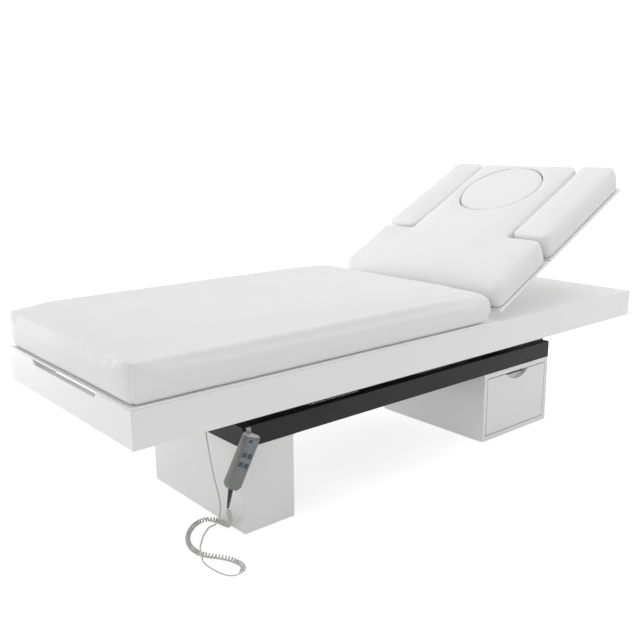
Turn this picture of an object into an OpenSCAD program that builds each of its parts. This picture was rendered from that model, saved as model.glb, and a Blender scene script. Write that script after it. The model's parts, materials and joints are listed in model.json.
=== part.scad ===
// Spa bed with a cabinet base: two cabinets carry a black steel frame, four
// parallel arms lift the bed on it, and the head half of the bed tilts.
// Origin on the floor under the middle of the surround, +X to the head end,
// -Y to the drawer side. Drawn at the lowest height with the back raised.

/* [Surround and deck] */
// Length of the surround
bed_l = 2190; // [2080:10:2260]
// Width of the surround
bed_w = 760; // [740:5:820]
// Height of the deck's top above the floor, bed at its lowest
deck_z = 492; // [488:1:500]
// Height of the surround's face
surround_h = 98; // [88:1:104]
// Thickness of the surround and deck boards
panel_t = 18; // [15:1:19]
// Length of the hand hole in the foot panel
notch_l = 404; // [250:2:480]
// Depth of the hand hole
notch_h = 14; // [8:1:20]

/* [Base] */
// Width of the steel frame and the cabinets
base_w = 505; // [480:1:540]
// Foot end of the surround to the foot end of the base
foot_overhang = 391; // [340:1:420]
// Head end of the surround to the head end of the base
head_overhang = 351; // [320:1:380]
// Height of the cabinets' tops, where the frame lies
cabinet_h = 258; // [240:1:262]
// Length of the foot cabinet along the bed
foot_cabinet_l = 178; // [150:1:200]
// Length of the head cabinet along the bed
head_cabinet_l = 390; // [360:1:420]
// Thickness of the cabinet boards
cabinet_t = 18; // [15:1:19]
// Height of the frame's rails
rail_h = 62; // [50:1:64]
// Width of the frame's rails
rail_w = 30; // [25:1:34]
// Wall of the frame's tubes
tube_wall = 2.5; // [1.5:0.1:4]

/* [Drawer] */
// Gap round the drawer front
drawer_gap = 3; // [2:0.5:5]
// Thickness of the drawer front
drawer_front_t = 18; // [15:1:20]
// Thickness of the drawer's sides and back
drawer_side_t = 12; // [9:1:15]
// Room behind the drawer box
drawer_back_gap = 52; // [40:1:100]
// Width of the finger cut in the drawer front
finger_l = 134; // [90:1:160]
// Depth of the finger cut
finger_h = 27; // [18:1:34]

/* [Lift] */
// Length of the lift arms, as a share of the base's length
arm_share = 0.27624; // [0.262:0.001:0.283]
// Rise of the arms above level, bed at its lowest
arm_tilt = 10; // [9:0.5:11]
// Rise of the arms above level, bed at its highest
arm_top_tilt = 45; // [40:1:50]
// Depth of the arm plates
arm_h = 40; // [34:1:42]
// Thickness of the arm plates
arm_t = 10; // [8:1:12]
// Lower pivot of the foot arms along the base, as a share of its length
foot_pivot_share = 0.5; // [0.48:0.001:0.52]
// Lower pivot of the head arms, likewise
head_pivot_share = 0.92818; // [0.91:0.001:0.94]
// Length of the lift lever, as a share of the arms'
lever_share = 0.25; // [0.23:0.005:0.26]
// Angle of the lever ahead of the arm
lever_lead = 45; // [40:1:48]
// Diameter of the lower pivot shafts
shaft_d = 20; // [16:1:22]
// Diameter of the upper pivot pins and the drive pins
pin_d = 12; // [10:1:14]

/* [Backrest] */
// Tilt of the backrest as drawn
back_tilt = 27.7; // [0:0.1:50]
// Highest tilt of the backrest
back_top_tilt = 55; // [50:1:56]
// Hinge of the backrest from the foot end, as a share of the bed's length
hinge_share = 0.6105; // [0.608:0.0005:0.613]
// Height of the hinge above the deck
hinge_rise = 41; // [40:0.5:42]
// Underside of the backrest board below the hinge
board_drop = 19; // [18:0.5:20]
// Front of the backrest board behind the hinge
board_setback = 11; // [11:0.5:14]
// Length of the backrest, as a share of the bed's length
back_share = 0.363; // [0.34:0.001:0.365]
// Length of its full-width part
block_l = 298; // [270:1:310]
// Width of the middle part between the side pads
middle_w = 460; // [430:2:470]
// Thickness of the backrest board
back_board_t = 10; // [8:1:14]
// Thickness of the backrest cushion
back_foam_t = 92; // [80:1:100]
// Diameter of the face plug
plug_d = 326; // [280:1:330]
// Middle of the face plug, as a share of the backrest's length
plug_share = 0.742; // [0.73:0.001:0.75]
// Opening in the board under the plug
face_hole_d = 280; // [220:1:284]

/* [Mattress] */
// From the tip of the mattress's nose to the hinge line
nose_setback = 13; // [12:1:30]
// Thickness of the mattress at its edge
mattress_t = 104; // [90:1:112]
// Thickness of the board under the mattress
mattress_board_t = 5; // [4:0.5:8]
// Radius of the cushions' top edges
foam_edge_r = 28; // [18:1:34]
// Rise of the cushions' crown
crown_h = 10; // [4:1:16]

/* [Drives] */
// Distance from the backrest hinge to both drive pins
drive_reach = 200; // [198:1:202]
// Lower drive pin ahead of straight down, in degrees
drive_lag = 2.5; // [1:0.5:4]
// Angle between the two drive pins with the back flat
drive_spread = 80; // [79:0.5:81]
// Diameter of the drives' outer tubes
drive_tube_d = 34; // [30:1:38]
// Diameter of the drives' rods
drive_rod_d = 18; // [16:1:20]

/* [Handset and cord] */
// Length of the handset
handset_l = 160; // [140:1:170]
// Width of the handset
handset_w = 46; // [40:1:52]
// Thickness of the handset
handset_t = 26; // [22:1:30]
// Lean of the hanging handset
handset_lean = 29; // [24:1:32]
// Diameter of the cord
cord_d = 4.2; // [3.6:0.1:4.6]
// Outer diameter of the curls
curl_d = 15; // [13:0.5:15]
// Number of curls
curls = 66; // [60:1:68]

/* [Hidden] */
$fn = 48;

white = [0.95, 0.95, 0.94];
black = [0.16, 0.16, 0.17];
steel = [0.62, 0.63, 0.65];
vinyl = [0.97, 0.97, 0.97];
grey = [0.45, 0.46, 0.46];

// Clearances: a running fit on the radius, soft pieces, and a cut's overrun
fit = 0.05;
soft_gap = 0.3;
over = 1;

// Places along the bed
foot_x = -bed_l / 2;
head_x = bed_l / 2;
base_foot_x = foot_x + foot_overhang;
base_head_x = head_x - head_overhang;
base_l = base_head_x - base_foot_x;
rail_inner_y = base_w / 2 - rail_w;
rail_mid_z = cabinet_h + rail_h / 2;
deck_under_z = deck_z - panel_t;

// Lift linkage: lower pivots on the base, upper pivots under the platform
foot_pivot = [base_foot_x + foot_pivot_share * base_l, rail_mid_z];
head_pivot = [base_foot_x + head_pivot_share * base_l, rail_mid_z];
arm_l = arm_share * base_l;
lever_l = lever_share * arm_l;
function arm_tip(p) = p + arm_l * [-cos(arm_tilt), sin(arm_tilt)];
arm_room = 24.5;
arm_y = rail_inner_y - arm_room;
hub_w = 20;
head_play = 0.4;
hub_r = 18;
torsion_r = 21;
torsion_bore_r = 18;
bush_l = 15;
bracket_t = 8;

// Platform frame: two tubes along the bed and five across
tube_w = 30;
tube_h = 40;
tube_z = deck_under_z - tube_h;
hinge_x = foot_x + hinge_share * bed_l;
tube_foot_inset = 195;
tube_head_inset = 135;
tube_foot_x = foot_x + tube_foot_inset;
tube_head_x = head_x - tube_head_inset;
apron_t = 3;
apron_inset = 24;
apron_gap = 3;
apron_foot_gap = 44;
apron_foot_x = base_foot_x + apron_foot_gap;
apron_head_x = base_head_x - apron_gap;
apron_z = rail_mid_z + rail_h / 2 + apron_gap;
crossbar_w = 40;
drive_bar_setback = 72;
drive_bar_x = hinge_x - drive_bar_setback;
crossbar_xs = [tube_foot_x, arm_tip(foot_pivot)[0] - crossbar_w / 2, drive_bar_x - crossbar_w / 2,
    head_pivot[0] - crossbar_w / 2, tube_head_x - crossbar_w];
clevis_gap = 5;
clevis_t = 6;
clevis_w = 34;

// Lift drive: its rear pin on the base, its front pin on the lever
lift_rear_share = 0.1409;
lift_rear = [base_foot_x + lift_rear_share * base_l, rail_mid_z];
motor_bar_w = 40;
motor_bar_gap = 35;
motor_bar_x = lift_rear[0] - motor_bar_gap - motor_bar_w;
function lever_tip(a) = foot_pivot + lever_l * [-cos(a + lever_lead), sin(a + lever_lead)];
function heading(v) = atan2(v[1], v[0]);
lift_start = lever_tip(arm_tilt) - lift_rear;
lift_middle = lever_tip((arm_tilt + arm_top_tilt) / 2) - lift_rear;
lift_end = lever_tip(arm_top_tilt) - lift_rear;
lift_rate = (norm(lift_end) - norm(lift_start)) / (arm_top_tilt - arm_tilt);
lift_sag = norm(lift_middle) - (norm(lift_start) + norm(lift_end)) / 2;
lift_swing = (heading(lift_end) - heading(lift_start)) / (arm_top_tilt - arm_tilt);
lift_bow = heading(lift_middle) - (heading(lift_start) + heading(lift_end)) / 2;
// The rod's eye is set midway between the extremes of the lever pin's arc
lift_tilt = heading(lift_start) + lift_bow / 2;
lift_reach = norm(lift_start) + lift_sag / 2;
lift_play = 3.3;

// Backrest drive: both pins lie at the same distance from the hinge
hinge = [hinge_x, deck_z + hinge_rise];
drive_rear = hinge + drive_reach * [-sin(drive_lag), -cos(drive_lag)];
pin_heading_flat = drive_spread - 90 - drive_lag;
drive_pin_flat = hinge + drive_reach * [cos(pin_heading_flat), sin(pin_heading_flat)];
function drive_chord(tilt) = 2 * drive_reach * sin((drive_spread + tilt) / 2);
drive_rate = (drive_chord(back_top_tilt) - drive_chord(0)) / back_top_tilt;
drive_sag = drive_chord(back_top_tilt / 2) - (drive_chord(0) + drive_chord(back_top_tilt)) / 2;
drive_slot_at = drive_chord(0) + drive_sag / 2 + drive_rate * back_tilt;
drive_angle = heading(drive_pin_flat - drive_rear) + back_tilt / 2;
slot_play = 0.4;
slot_run = 0.8;
drive_slot_half = drive_sag / 2 + slot_run;

// Drives
eye_r = 11;
eye_w = 18;
cheek_r = 13;
small_cheek_r = 10;
eye_cheek_gap = 1;
eye_wall = 6;
cheek_t = 6;
cheek_y = eye_w / 2 + eye_cheek_gap;
gear_start = 36;
gear_l = 58;
gear_w = 44;
gear_h = 40;
stem_h = 20;
motor_d = 46;
motor_l = 100;
motor_y = gear_w / 2 + motor_d / 2;

// Backrest, drawn flat and then tilted about its hinge
back_l = back_share * bed_l;
plug_s = plug_share * back_l;
back_front_x = hinge_x + board_setback;
back_under_z = hinge[1] - board_drop;
back_top_z = back_under_z + back_board_t;
nose_gap = 3;
back_tube_w = 25;
back_tube_h = 18;
back_tube_y = 180;
back_tube_z = back_under_z - back_tube_h;
hinge_pin_d = 8;
hinge_eye_r = 9.5;
hinge_leaf_t = 6;
hinge_leaf_gap = 2;
side_edge_gap = 2;
pad_gap = 4;
pad_start = block_l + 8;
pad_end = back_l + 3;
socket_s_shares = [0.486, 0.955];
pad_pin_l = 100;
pad_batten_w = 18;
plug_x = back_front_x + plug_s;
plug_clear = 2;

// Drawer and runners
bay_w = head_cabinet_l - 2 * cabinet_t;
bay_z0 = cabinet_t;
glide_h = 2;
runner_t = 5.5;
runner_gap = 0.5;
runner_h = 35;
runner_inset = 105;
runner_l = base_w - runner_inset;
drawer_bottom_t = 8;
back_panel_t = 5;
drawer_depth = base_w - drawer_front_t - back_panel_t - drawer_back_gap;

// Handset, drawn upright with its top at the origin, then leaned and placed
handset_inset = 17;
handset_rise = 19;
handset_gap = 11.5;
handset_top = [base_foot_x + handset_inset, rail_mid_z + handset_rise];
handset_back_y = -base_w / 2 - handset_gap;
shell_t = 2;
shell_r = 14;
chamfer = 11;
key_w = 14;
key_l = 13;
key_rise = 1.4;
key_gap = 0.4;
key_pitch = 27;
key_first = 62;
key_offset = 9.5;
key_flange = 1.2;
panel_inset = 4;
key_panel_t = 0.8;
relief_lean = 12;
relief_l = 54;
relief_r = 7;
relief_tip_r = 3;
handset_y = handset_back_y - handset_t / 2;
handset_foot = handset_top - handset_l * [sin(handset_lean), cos(handset_lean)];
relief_tip = handset_foot - relief_l * [sin(relief_lean), cos(relief_lean)];

// Cord: the route of its straight tail from the frame to the curls, along X
// from the base's foot end and along Y from the handset's back
gland_z = 289;
gland_l = 12;
gland_r = 8;
tail_points = [[-12, 160, 289], [-20, 159, 289], [-27, 156, 284], [-30, 151, 270],
    [-31, 142, 240], [-32, 128, 194], [-34, 109, 148], [-37, 86, 110], [-40, 74, 80],
    [-38, 80, 50], [-34, 96, 24], [-38, 110, 7], [-54, 114, 2.5], [-76, 98, 2.5],
    [-98, 78, 2.5], [-122, 50, 2.5], [-136, 32, 5], [-146, 17, 13], [-153, 4, 19],
    [-162, -12, 19.5], [-169, -28, 12], [-173, -46, 4], [-173, -76, 2.5], [-168, -114, 2.5],
    [-158, -138, 2.5], [-146, -148, 2.6], [-137, -150, 3]];
// and the line on which the curls are wound, from the tail to the handset
curl_points = [[-137, -150, 3], [-129, -150, 5.5], [-119, -146, 8], [-110, -135, 8], [-107, -114, 8],
    [-112, -86, 8], [-128, -54, 8], [-150, -23, 8], [-161, 12, 8], [-157, 52, 8],
    [-140, 90, 8], [-115, 121, 8], [-86, 144, 8], [-57, 154, 8], [-33, 148, 8],
    [-20, 126, 8.5], [-18, 94, 11], [-24, 62, 20], [-37, 33, 42], [-52, 8, 68],
    [-64, -7, 90]];
cord_rise = rail_mid_z / gland_z;
function routed(points) = [for (p = points)
    [base_foot_x + p[0], handset_back_y + p[1], p[2] * cord_rise]];
tail_route = routed(tail_points);
curl_route = routed(curl_points);
tail_step = 10;
rings_per_curl = 8;
cord_sides = 6;

// General shapes

// A cylinder across the bed through p = [x, z], from y0 to y1
module across(p, r, y0, y1) {
    translate([p[0], y0, p[1]]) rotate([-90, 0, 0]) cylinder(r = r, h = y1 - y0);
}

// An upright plate across the bed with round ends at a and b. Its web is a
// hair narrower and thinner than the ends
waist = 0.99;
web_relief = 0.2;

module link(a, b, r, y0, y1) {
    across(a, r, y0, y1);
    across(b, r, y0, y1);
    translate([a[0], y0, a[1]]) rotate([0, -heading(b - a), 0])
        translate([0, web_relief, -r * waist])
            cube([norm(b - a), y1 - y0 - 2 * web_relief, 2 * r * waist]);
}

// A tube along X with a rectangular section
module tube_x(x0, x1, y0, z0, w, h) {
    difference() {
        translate([x0, y0, z0]) cube([x1 - x0, w, h]);
        translate([x0 + tube_wall, y0 + tube_wall, z0 + tube_wall])
            cube([x1 - x0 - 2 * tube_wall, w - 2 * tube_wall, h - 2 * tube_wall]);
    }
}

// A tube along Y with a rectangular section
module tube_y(x0, y0, y1, z0, w, h) {
    difference() {
        translate([x0, y0, z0]) cube([w, y1 - y0, h]);
        translate([x0 + tube_wall, y0 + tube_wall, z0 + tube_wall])
            cube([w - 2 * tube_wall, y1 - y0 - 2 * tube_wall, h - 2 * tube_wall]);
    }
}

module both_sides() {
    children();
    mirror([0, 1, 0]) children();
}

// Tilts what is drawn flat about the backrest hinge
module tilted() {
    translate([hinge[0], 0, hinge[1]]) rotate([0, -back_tilt, 0])
        translate([-hinge[0], 0, -hinge[1]]) children();
}

// Soft shapes: rings of points, skinned with triangles

corner_steps = 3;

// One ring of a cushion: a rectangle with round corners, counter-clockwise
function ring(x0, x1, y0, y1, r, z) = [
    for (c = [[x1 - r, y1 - r, 0], [x0 + r, y1 - r, 90], [x0 + r, y0 + r, 180], [x1 - r, y0 + r, 270]])
        for (i = [0 : corner_steps])
            let (a = c[2] + 90 * i / corner_steps) [c[0] + r * cos(a), c[1] + r * sin(a), z]];

module skin(rings) {
    n = len(rings[0]);
    m = len(rings);
    polyhedron(
        points = [for (r = rings) for (p = r) p],
        faces = concat(
            [for (i = [1 : n - 2]) [0, i, i + 1]],
            [for (k = [0 : m - 2]) for (i = [0 : n - 1]) let (a = k * n + i, b = k * n + (i + 1) % n)
                [a, a + n, b + n]],
            [for (k = [0 : m - 2]) for (i = [0 : n - 1]) let (a = k * n + i, b = k * n + (i + 1) % n)
                [a, b + n, b]],
            [for (i = [1 : n - 2]) [(m - 1) * n, (m - 1) * n + i + 1, (m - 1) * n + i]]),
        convexity = 4);
}

// How far a cushion's outline is drawn in at height h: tucked at its bottom,
// full at the middle of its side and round at its top edge
function drawn_in(h, t, r, tuck) =
    h < 0.4 * t ? tuck * pow(1 - h / (0.4 * t), 2)
    : h <= t - r ? 0
    : r - sqrt(max(0, r * r - pow(h - t + r, 2)));

// The same at a bull nose: [reach above, reach below, height of its tip]
function nosed(h, t, nose) =
    h < nose[2] ? nose[1] * (1 - sqrt(max(0, 1 - pow(1 - h / nose[2], 2))))
    : nose[0] * (1 - sqrt(max(0, 1 - pow((h - nose[2]) / (t - nose[2]), 2))));

side_shares = [0, 0.12, 0.28, 0.45];
edge_angles = [0, 35, 62, 90];
crown_shares = [0.12, 0.4, 0.8];

// A cushion from x0 to x1 and y0 to y1, standing on z0. Either end may be a nose
module cushion(x0, x1, y0, y1, z0, t, r, crown, foot_nose = [0, 0, 0], head_nose = [0, 0, 0],
        corner = 26, tuck = 5) {
    half = min(y1 - y0, x1 - x0 - max(0, foot_nose[0] - r) - max(0, head_nose[0] - r)) / 2;
    levels = concat(
        [for (s = side_shares) [s * t, drawn_in(s * t, t, r, tuck), 0]],
        [for (a = edge_angles) let (h = t - r + r * sin(a)) [h, drawn_in(h, t, r, tuck), 0]],
        [for (c = crown_shares) [t + crown * (1 - pow(1 - c, 2)), r, c * (half - r)]]);
    skin([for (v = levels)
        let (foot_in = foot_nose[0] > 0 ? nosed(min(v[0], t), t, foot_nose) : v[1],
            head_in = head_nose[0] > 0 ? nosed(min(v[0], t), t, head_nose) : v[1])
        ring(x0 + foot_in + v[2], x1 - head_in - v[2], y0 + v[1] + v[2], y1 - v[1] - v[2],
            max(corner - v[1], 3), z0 + v[0])]);
}

// Cord: a smooth line through a route, and a tube swept along points

function unit(v) = v / norm(v);
function on_curve(p, q, r, s, t) = 0.5 * (2 * q + (r - p) * t + (2 * p - 5 * q + 4 * r - s) * t * t
    + (3 * q - p - 3 * r + s) * t * t * t);

// Points along a route, each stretch cut into steps of about the given length
function smooth(route, step) = let (n = len(route)) [
    for (i = [0 : n - 2])
        let (p = route[max(i - 1, 0)], q = route[i], r = route[i + 1], s = route[min(i + 2, n - 1)],
            cuts = max(1, ceil(norm(r - q) / step)))
        for (j = [0 : i == n - 2 ? cuts : cuts - 1]) on_curve(p, q, r, s, j / cuts)];

// Directions along points, the first and the last given
function headings(points, first, last) = let (n = len(points)) [
    for (i = [0 : n - 1]) i == 0 ? first : i == n - 1 ? last : unit(points[i + 1] - points[i - 1])];

// Side directions carried along without twist
function carried(dirs, start) = [
    for (i = 0, u = unit(start - (start * dirs[0]) * dirs[0]); i < len(dirs);
        i = i + 1, u = i < len(dirs) ? unit(u - (u * dirs[i]) * dirs[i]) : u) u];

module swept(points, first, last, r, sides, start) {
    dirs = headings(points, first, last);
    us = carried(dirs, start);
    skin([for (i = [0 : len(points) - 1])
        [for (k = [0 : sides - 1]) let (a = 360 * k / sides)
            points[i] + r * (cos(a) * us[i] + sin(a) * cross(dirs[i], us[i]))]]);
}

// Lengths up to each point of a line, and the point at a given length
function lengths(p) = [for (i = 0, s = 0; i < len(p); i = i + 1, s = i < len(p) ? s + norm(p[i] - p[i - 1]) : s) s];
function place_at(p, ls, s, i = 0) = i >= len(p) - 2 || ls[i + 1] >= s
    ? [i, min(1, (s - ls[i]) / (ls[i + 1] - ls[i]))] : place_at(p, ls, s, i + 1);

// The least distance between points more than half a curl apart
function least_gap(p, apart) = min([for (i = [0 : len(p) - 1 - apart])
    min([for (j = [i + apart : min(len(p) - 1, i + 3 * rings_per_curl)]) norm(p[i] - p[j])])]);

// Base

module foot_cabinet() {
    color(white) difference() {
        translate([base_foot_x, -base_w / 2, glide_h])
            cube([foot_cabinet_l, base_w, cabinet_h - glide_h]);
        translate([base_foot_x + cabinet_t, cabinet_t - base_w / 2, glide_h + cabinet_t])
            cube([foot_cabinet_l - 2 * cabinet_t, base_w - 2 * cabinet_t,
                cabinet_h - glide_h - 2 * cabinet_t]);
    }
}

head_cabinet_x = base_head_x - head_cabinet_l;

module head_cabinet() {
    color(white) difference() {
        translate([head_cabinet_x, -base_w / 2, glide_h])
            cube([head_cabinet_l, base_w, cabinet_h - glide_h]);
        translate([head_cabinet_x + cabinet_t, -base_w / 2 - over, glide_h + cabinet_t])
            cube([bay_w, base_w + 2 * over, cabinet_h - glide_h - 2 * cabinet_t]);
        translate([head_cabinet_x + cabinet_t / 2, base_w / 2 - back_panel_t, glide_h + cabinet_t / 2])
            cube([bay_w + cabinet_t, back_panel_t + over, cabinet_h - glide_h - cabinet_t]);
    }
}

module head_cabinet_back() {
    color(white) translate([head_cabinet_x + cabinet_t / 2, base_w / 2 - back_panel_t,
        glide_h + cabinet_t / 2])
        cube([bay_w + cabinet_t, back_panel_t, cabinet_h - glide_h - cabinet_t]);
}

glide_r = 12;
glide_inset = 30;

module cabinet_glides() {
    color(grey) both_sides()
        for (x = [base_foot_x + glide_inset, base_foot_x + foot_cabinet_l - glide_inset,
            head_cabinet_x + glide_inset, base_head_x - glide_inset])
            translate([x, glide_inset - base_w / 2, 0]) cylinder(r = glide_r, h = glide_h);
}

module near_rail() {
    color(black) tube_x(base_foot_x, base_head_x, -base_w / 2, cabinet_h, rail_w, rail_h);
}

module far_rail() {
    color(black) tube_x(base_foot_x, base_head_x, rail_inner_y, cabinet_h, rail_w, rail_h);
}

module foot_crossbar() {
    color(black) tube_y(base_foot_x, -rail_inner_y, rail_inner_y, cabinet_h, rail_w, rail_h);
}

module head_crossbar() {
    color(black) tube_y(base_head_x - rail_w, -rail_inner_y, rail_inner_y, cabinet_h, rail_w, rail_h);
}

// The crossbar that holds the lift drive, with its two cheeks and their pin
module motor_crossbar() {
    color(black) {
        tube_y(motor_bar_x, -rail_inner_y, rail_inner_y, cabinet_h, motor_bar_w, rail_h);
        both_sides() difference() {
            link([motor_bar_x + motor_bar_w + cheek_r / 2, lift_rear[1]], lift_rear, cheek_r,
                cheek_y, cheek_y + cheek_t);
            translate([motor_bar_x, 0, cabinet_h]) cube([motor_bar_w, rail_inner_y, rail_h]);
        }
        across(lift_rear, pin_d / 2, -cheek_y - cheek_t, cheek_y + cheek_t);
    }
}

module base_pivot_brackets() {
    bracket_w = 50;
    color(black) both_sides() for (p = [foot_pivot, head_pivot]) difference() {
        translate([p[0] - bracket_w / 2, rail_inner_y - bracket_t, cabinet_h + tube_wall])
            cube([bracket_w, bracket_t, rail_h - 2 * tube_wall]);
        across(p, shaft_d / 2 + fit, rail_inner_y - bracket_t - over, rail_inner_y + over);
    }
}

module pivot_shaft(p) {
    color(steel) across(p, shaft_d / 2, -rail_inner_y, rail_inner_y);
}

module foot_pivot_shaft() { pivot_shaft(foot_pivot); }
module head_pivot_shaft() { pivot_shaft(head_pivot); }

box_x = base_foot_x + foot_cabinet_l + 2;
box_l = 100;
box_w = 55;
box_drop = 16;
box_top_gap = 8;

inlet_w = 28;
inlet_h = 22;
inlet_l = 16;
inlet_wall = 2;

// Control box of the two drives, its lower corner just under the rail, with
// the mains inlet in its head end
module control_box() {
    z0 = cabinet_h - box_drop;
    z1 = cabinet_h + rail_h - box_top_gap;
    x1 = box_x + box_l;
    y0 = box_w / 2 - rail_inner_y - inlet_w / 2;
    color(black) difference() {
        union() {
            translate([box_x, box_w - rail_inner_y, 0]) rotate([90, 0, 0])
                linear_extrude(box_w) polygon([[0, z0], [box_l * 0.26, z0], [box_l * 0.58, cabinet_h],
                    [box_l, cabinet_h], [box_l, z1], [0, z1]]);
            translate([x1 - over, y0, rail_mid_z - inlet_h / 2]) cube([inlet_l + over, inlet_w, inlet_h]);
        }
        translate([x1 + inlet_wall, y0 + inlet_wall, rail_mid_z - inlet_h / 2 + inlet_wall])
            cube([inlet_l, inlet_w - 2 * inlet_wall, inlet_h - 2 * inlet_wall]);
    }
}

module cord_gland() {
    start = tail_route[0];
    color(black) translate([start[0], start[1], start[2]]) rotate([0, 90, 0]) {
        cylinder(r = gland_r * 0.7, h = gland_l / 3);
        translate([0, 0, gland_l / 3]) cylinder(r = gland_r, h = gland_l * 2 / 3);
    }
}

module runner_strip(x0, y0, z0) {
    translate([x0, y0, z0]) cube([runner_t, runner_l, runner_h]);
}

runner_rise = 80;
runner_setback = 8;
runner_z = bay_z0 + glide_h + runner_rise;
runner_y = -base_w / 2 + drawer_front_t + runner_setback;

module fixed_runners() {
    color(steel) for (x = [head_cabinet_x + cabinet_t, base_head_x - cabinet_t - runner_t])
        runner_strip(x, runner_y, runner_z);
}

// Handset and its hook

// Outline of the handset seen from the front: a round top and a cut bottom
function arc(c, r, a0, a1, n) = [for (i = [0 : n]) let (a = a0 + (a1 - a0) * i / n) c + r * [cos(a), sin(a)]];

function handset_outline(inset) = let (w = handset_w / 2 - inset, r = shell_r - inset / 2) concat(
    [[-w + chamfer, inset - handset_l], [w - chamfer, inset - handset_l], [w, inset + chamfer - handset_l]],
    arc([w - r, -inset - r], r, 0, 90, 6), arc([r - w, -inset - r], r, 90, 180, 6),
    [[-w, inset + chamfer - handset_l]]);

// Places what is drawn upright, facing -Y, with its top at the origin
module hung() {
    translate([handset_top[0], handset_y, handset_top[1]]) rotate([0, handset_lean, 0]) children();
}

// A slab of the handset's outline from y0 to y1
module handset_slab(inset, y0, y1) {
    translate([0, y1, 0]) rotate([90, 0, 0]) linear_extrude(y1 - y0) polygon(handset_outline(inset));
}

module handset_back_shell() {
    color(grey) hung() difference() {
        handset_slab(0, 0, handset_t / 2);
        handset_slab(shell_t, -over, handset_t / 2 - shell_t);
    }
}

function key_places() = [for (row = [0, 1]) for (side = [-1, 1])
    [side * key_offset, -key_first - row * key_pitch]];

module key_windows(y0, y1) {
    for (k = key_places())
        translate([k[0] - key_w / 2 - key_gap, y0, k[1] - key_l / 2 - key_gap])
            cube([key_w + 2 * key_gap, y1 - y0, key_l + 2 * key_gap]);
}

module handset_front_shell() {
    color(grey) hung() difference() {
        handset_slab(0, -handset_t / 2, 0);
        handset_slab(shell_t, shell_t - handset_t / 2, over);
        key_windows(-handset_t / 2 - over, 0);
    }
}

panel_top = 26;
panel_bottom = 112;

module handset_key_panel() {
    y0 = -handset_t / 2 - key_panel_t;
    color([0.42, 0.46, 0.5]) hung() difference() {
        translate([panel_inset - handset_w / 2, y0, -panel_bottom])
            cube([handset_w - 2 * panel_inset, key_panel_t, panel_bottom - panel_top]);
        key_windows(y0 - over, y0 + key_panel_t + over);
    }
}

module handset_key(i) {
    k = key_places()[i];
    front = -handset_t / 2 - key_panel_t - key_rise;
    back = shell_t - handset_t / 2 + soft_gap;
    color([0.3, 0.33, 0.38]) hung() {
        translate([k[0] - key_w / 2, front, k[1] - key_l / 2]) cube([key_w, back - front, key_l]);
        translate([k[0] - key_w / 2 - key_gap * 3, back, k[1] - key_l / 2 - key_gap * 3])
            cube([key_w + 6 * key_gap, key_flange, key_l + 6 * key_gap]);
    }
}

module key_lift_up() { handset_key(0); }
module key_lift_down() { handset_key(1); }
module key_back_up() { handset_key(2); }
module key_back_down() { handset_key(3); }

hook_inset = 14;
hook_x = base_foot_x + hook_inset;
hook_w = 14;
hook_t = 3;
hook_z = rail_mid_z + 1;
lip_rise = 28;
lip_top = rail_mid_z + lip_rise;
bracket_w = 26;
lip_t = 2;

// A bent steel pocket on the rail that the handset's hook drops over
module handset_bracket() {
    rail_y = -base_w / 2;
    color(black) translate([hook_x - bracket_w / 2, 0, 0]) {
        translate([0, rail_y - lip_t, lip_top - 22]) cube([bracket_w, lip_t, 22]);
        translate([0, rail_y - 4 * lip_t, lip_top - 14]) cube([bracket_w, 4 * lip_t, lip_t]);
        translate([0, rail_y - 4 * lip_t, lip_top - 14]) cube([bracket_w, lip_t, 14]);
    }
}

module handset_hook() {
    lip_y = -base_w / 2 - 4 * lip_t;
    top = lip_top + soft_gap;
    inner = 2.8;
    color([0.8, 0.8, 0.79]) translate([hook_x - hook_w / 2, 0, 0]) {
        translate([0, handset_back_y, hook_z]) cube([hook_w, hook_t, top + hook_t - hook_z]);
        translate([0, handset_back_y, top])
            cube([hook_w, lip_y + lip_t + soft_gap + inner - handset_back_y, hook_t]);
        translate([0, lip_y + lip_t + soft_gap, top - 9]) cube([hook_w, inner, 9 + hook_t]);
    }
}

module strain_relief() {
    color([0.25, 0.25, 0.26]) difference() {
        translate([relief_tip[0], handset_y, relief_tip[1]]) rotate([0, relief_lean, 0])
            cylinder(r1 = relief_tip_r, r2 = relief_r, h = relief_l + relief_r);
        hung() translate([-handset_w, -handset_t, -handset_l]) cube([2 * handset_w, 2 * handset_t, handset_l]);
    }
}

// Cord

module cord_tail() {
    points = smooth(tail_route, tail_step);
    color([0.85, 0.85, 0.85]) swept(points, [-1, 0, 0], unit([1, 0, 0.1]), cord_d / 2, 8, [0, 1, 0]);
}

relief_dir = [sin(relief_lean), 0, cos(relief_lean)];

module cord_curl() {
    tip = [relief_tip[0], handset_y, relief_tip[1]];
    route = concat(curl_route, [tip - cord_d * relief_dir, tip]);
    axis = smooth(route, 6);
    dirs = headings(axis, unit([1, 0, 0.1]), relief_dir);
    us = carried(dirs, [0, 1, 0]);
    ls = lengths(axis);
    whole = ls[len(ls) - 1];
    n = curls * rings_per_curl;
    reach = (curl_d - cord_d) / 2;
    wound = [for (i = [0 : n])
        let (s = cord_d + (whole - 2 * cord_d) * i / n, at = place_at(axis, ls, s),
            c = axis[at[0]] * (1 - at[1]) + axis[at[0] + 1] * at[1],
            u = unit(us[at[0]] * (1 - at[1]) + us[at[0] + 1] * at[1]),
            d = unit(dirs[at[0]] * (1 - at[1]) + dirs[at[0] + 1] * at[1]),
            a = 360 * i / rings_per_curl,
            w = reach * min(1, i / rings_per_curl, (n - i) / rings_per_curl))
        c + w * (cos(a) * u + sin(a) * cross(d, u))];
    points = concat([axis[0]], wound, [tip]);
    echo(least_gap_of_the_curls = least_gap(points, rings_per_curl / 2) - cord_d);
    echo(cord_length = lengths(points)[len(points) - 1] + lengths(smooth(tail_route, tail_step))[
        len(smooth(tail_route, tail_step)) - 1]);
    color([0.85, 0.85, 0.85])
        swept(points, unit([1, 0, 0.1]), relief_dir, cord_d / 2, cord_sides, [0, 1, 0]);
}

// Lift arms

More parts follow.
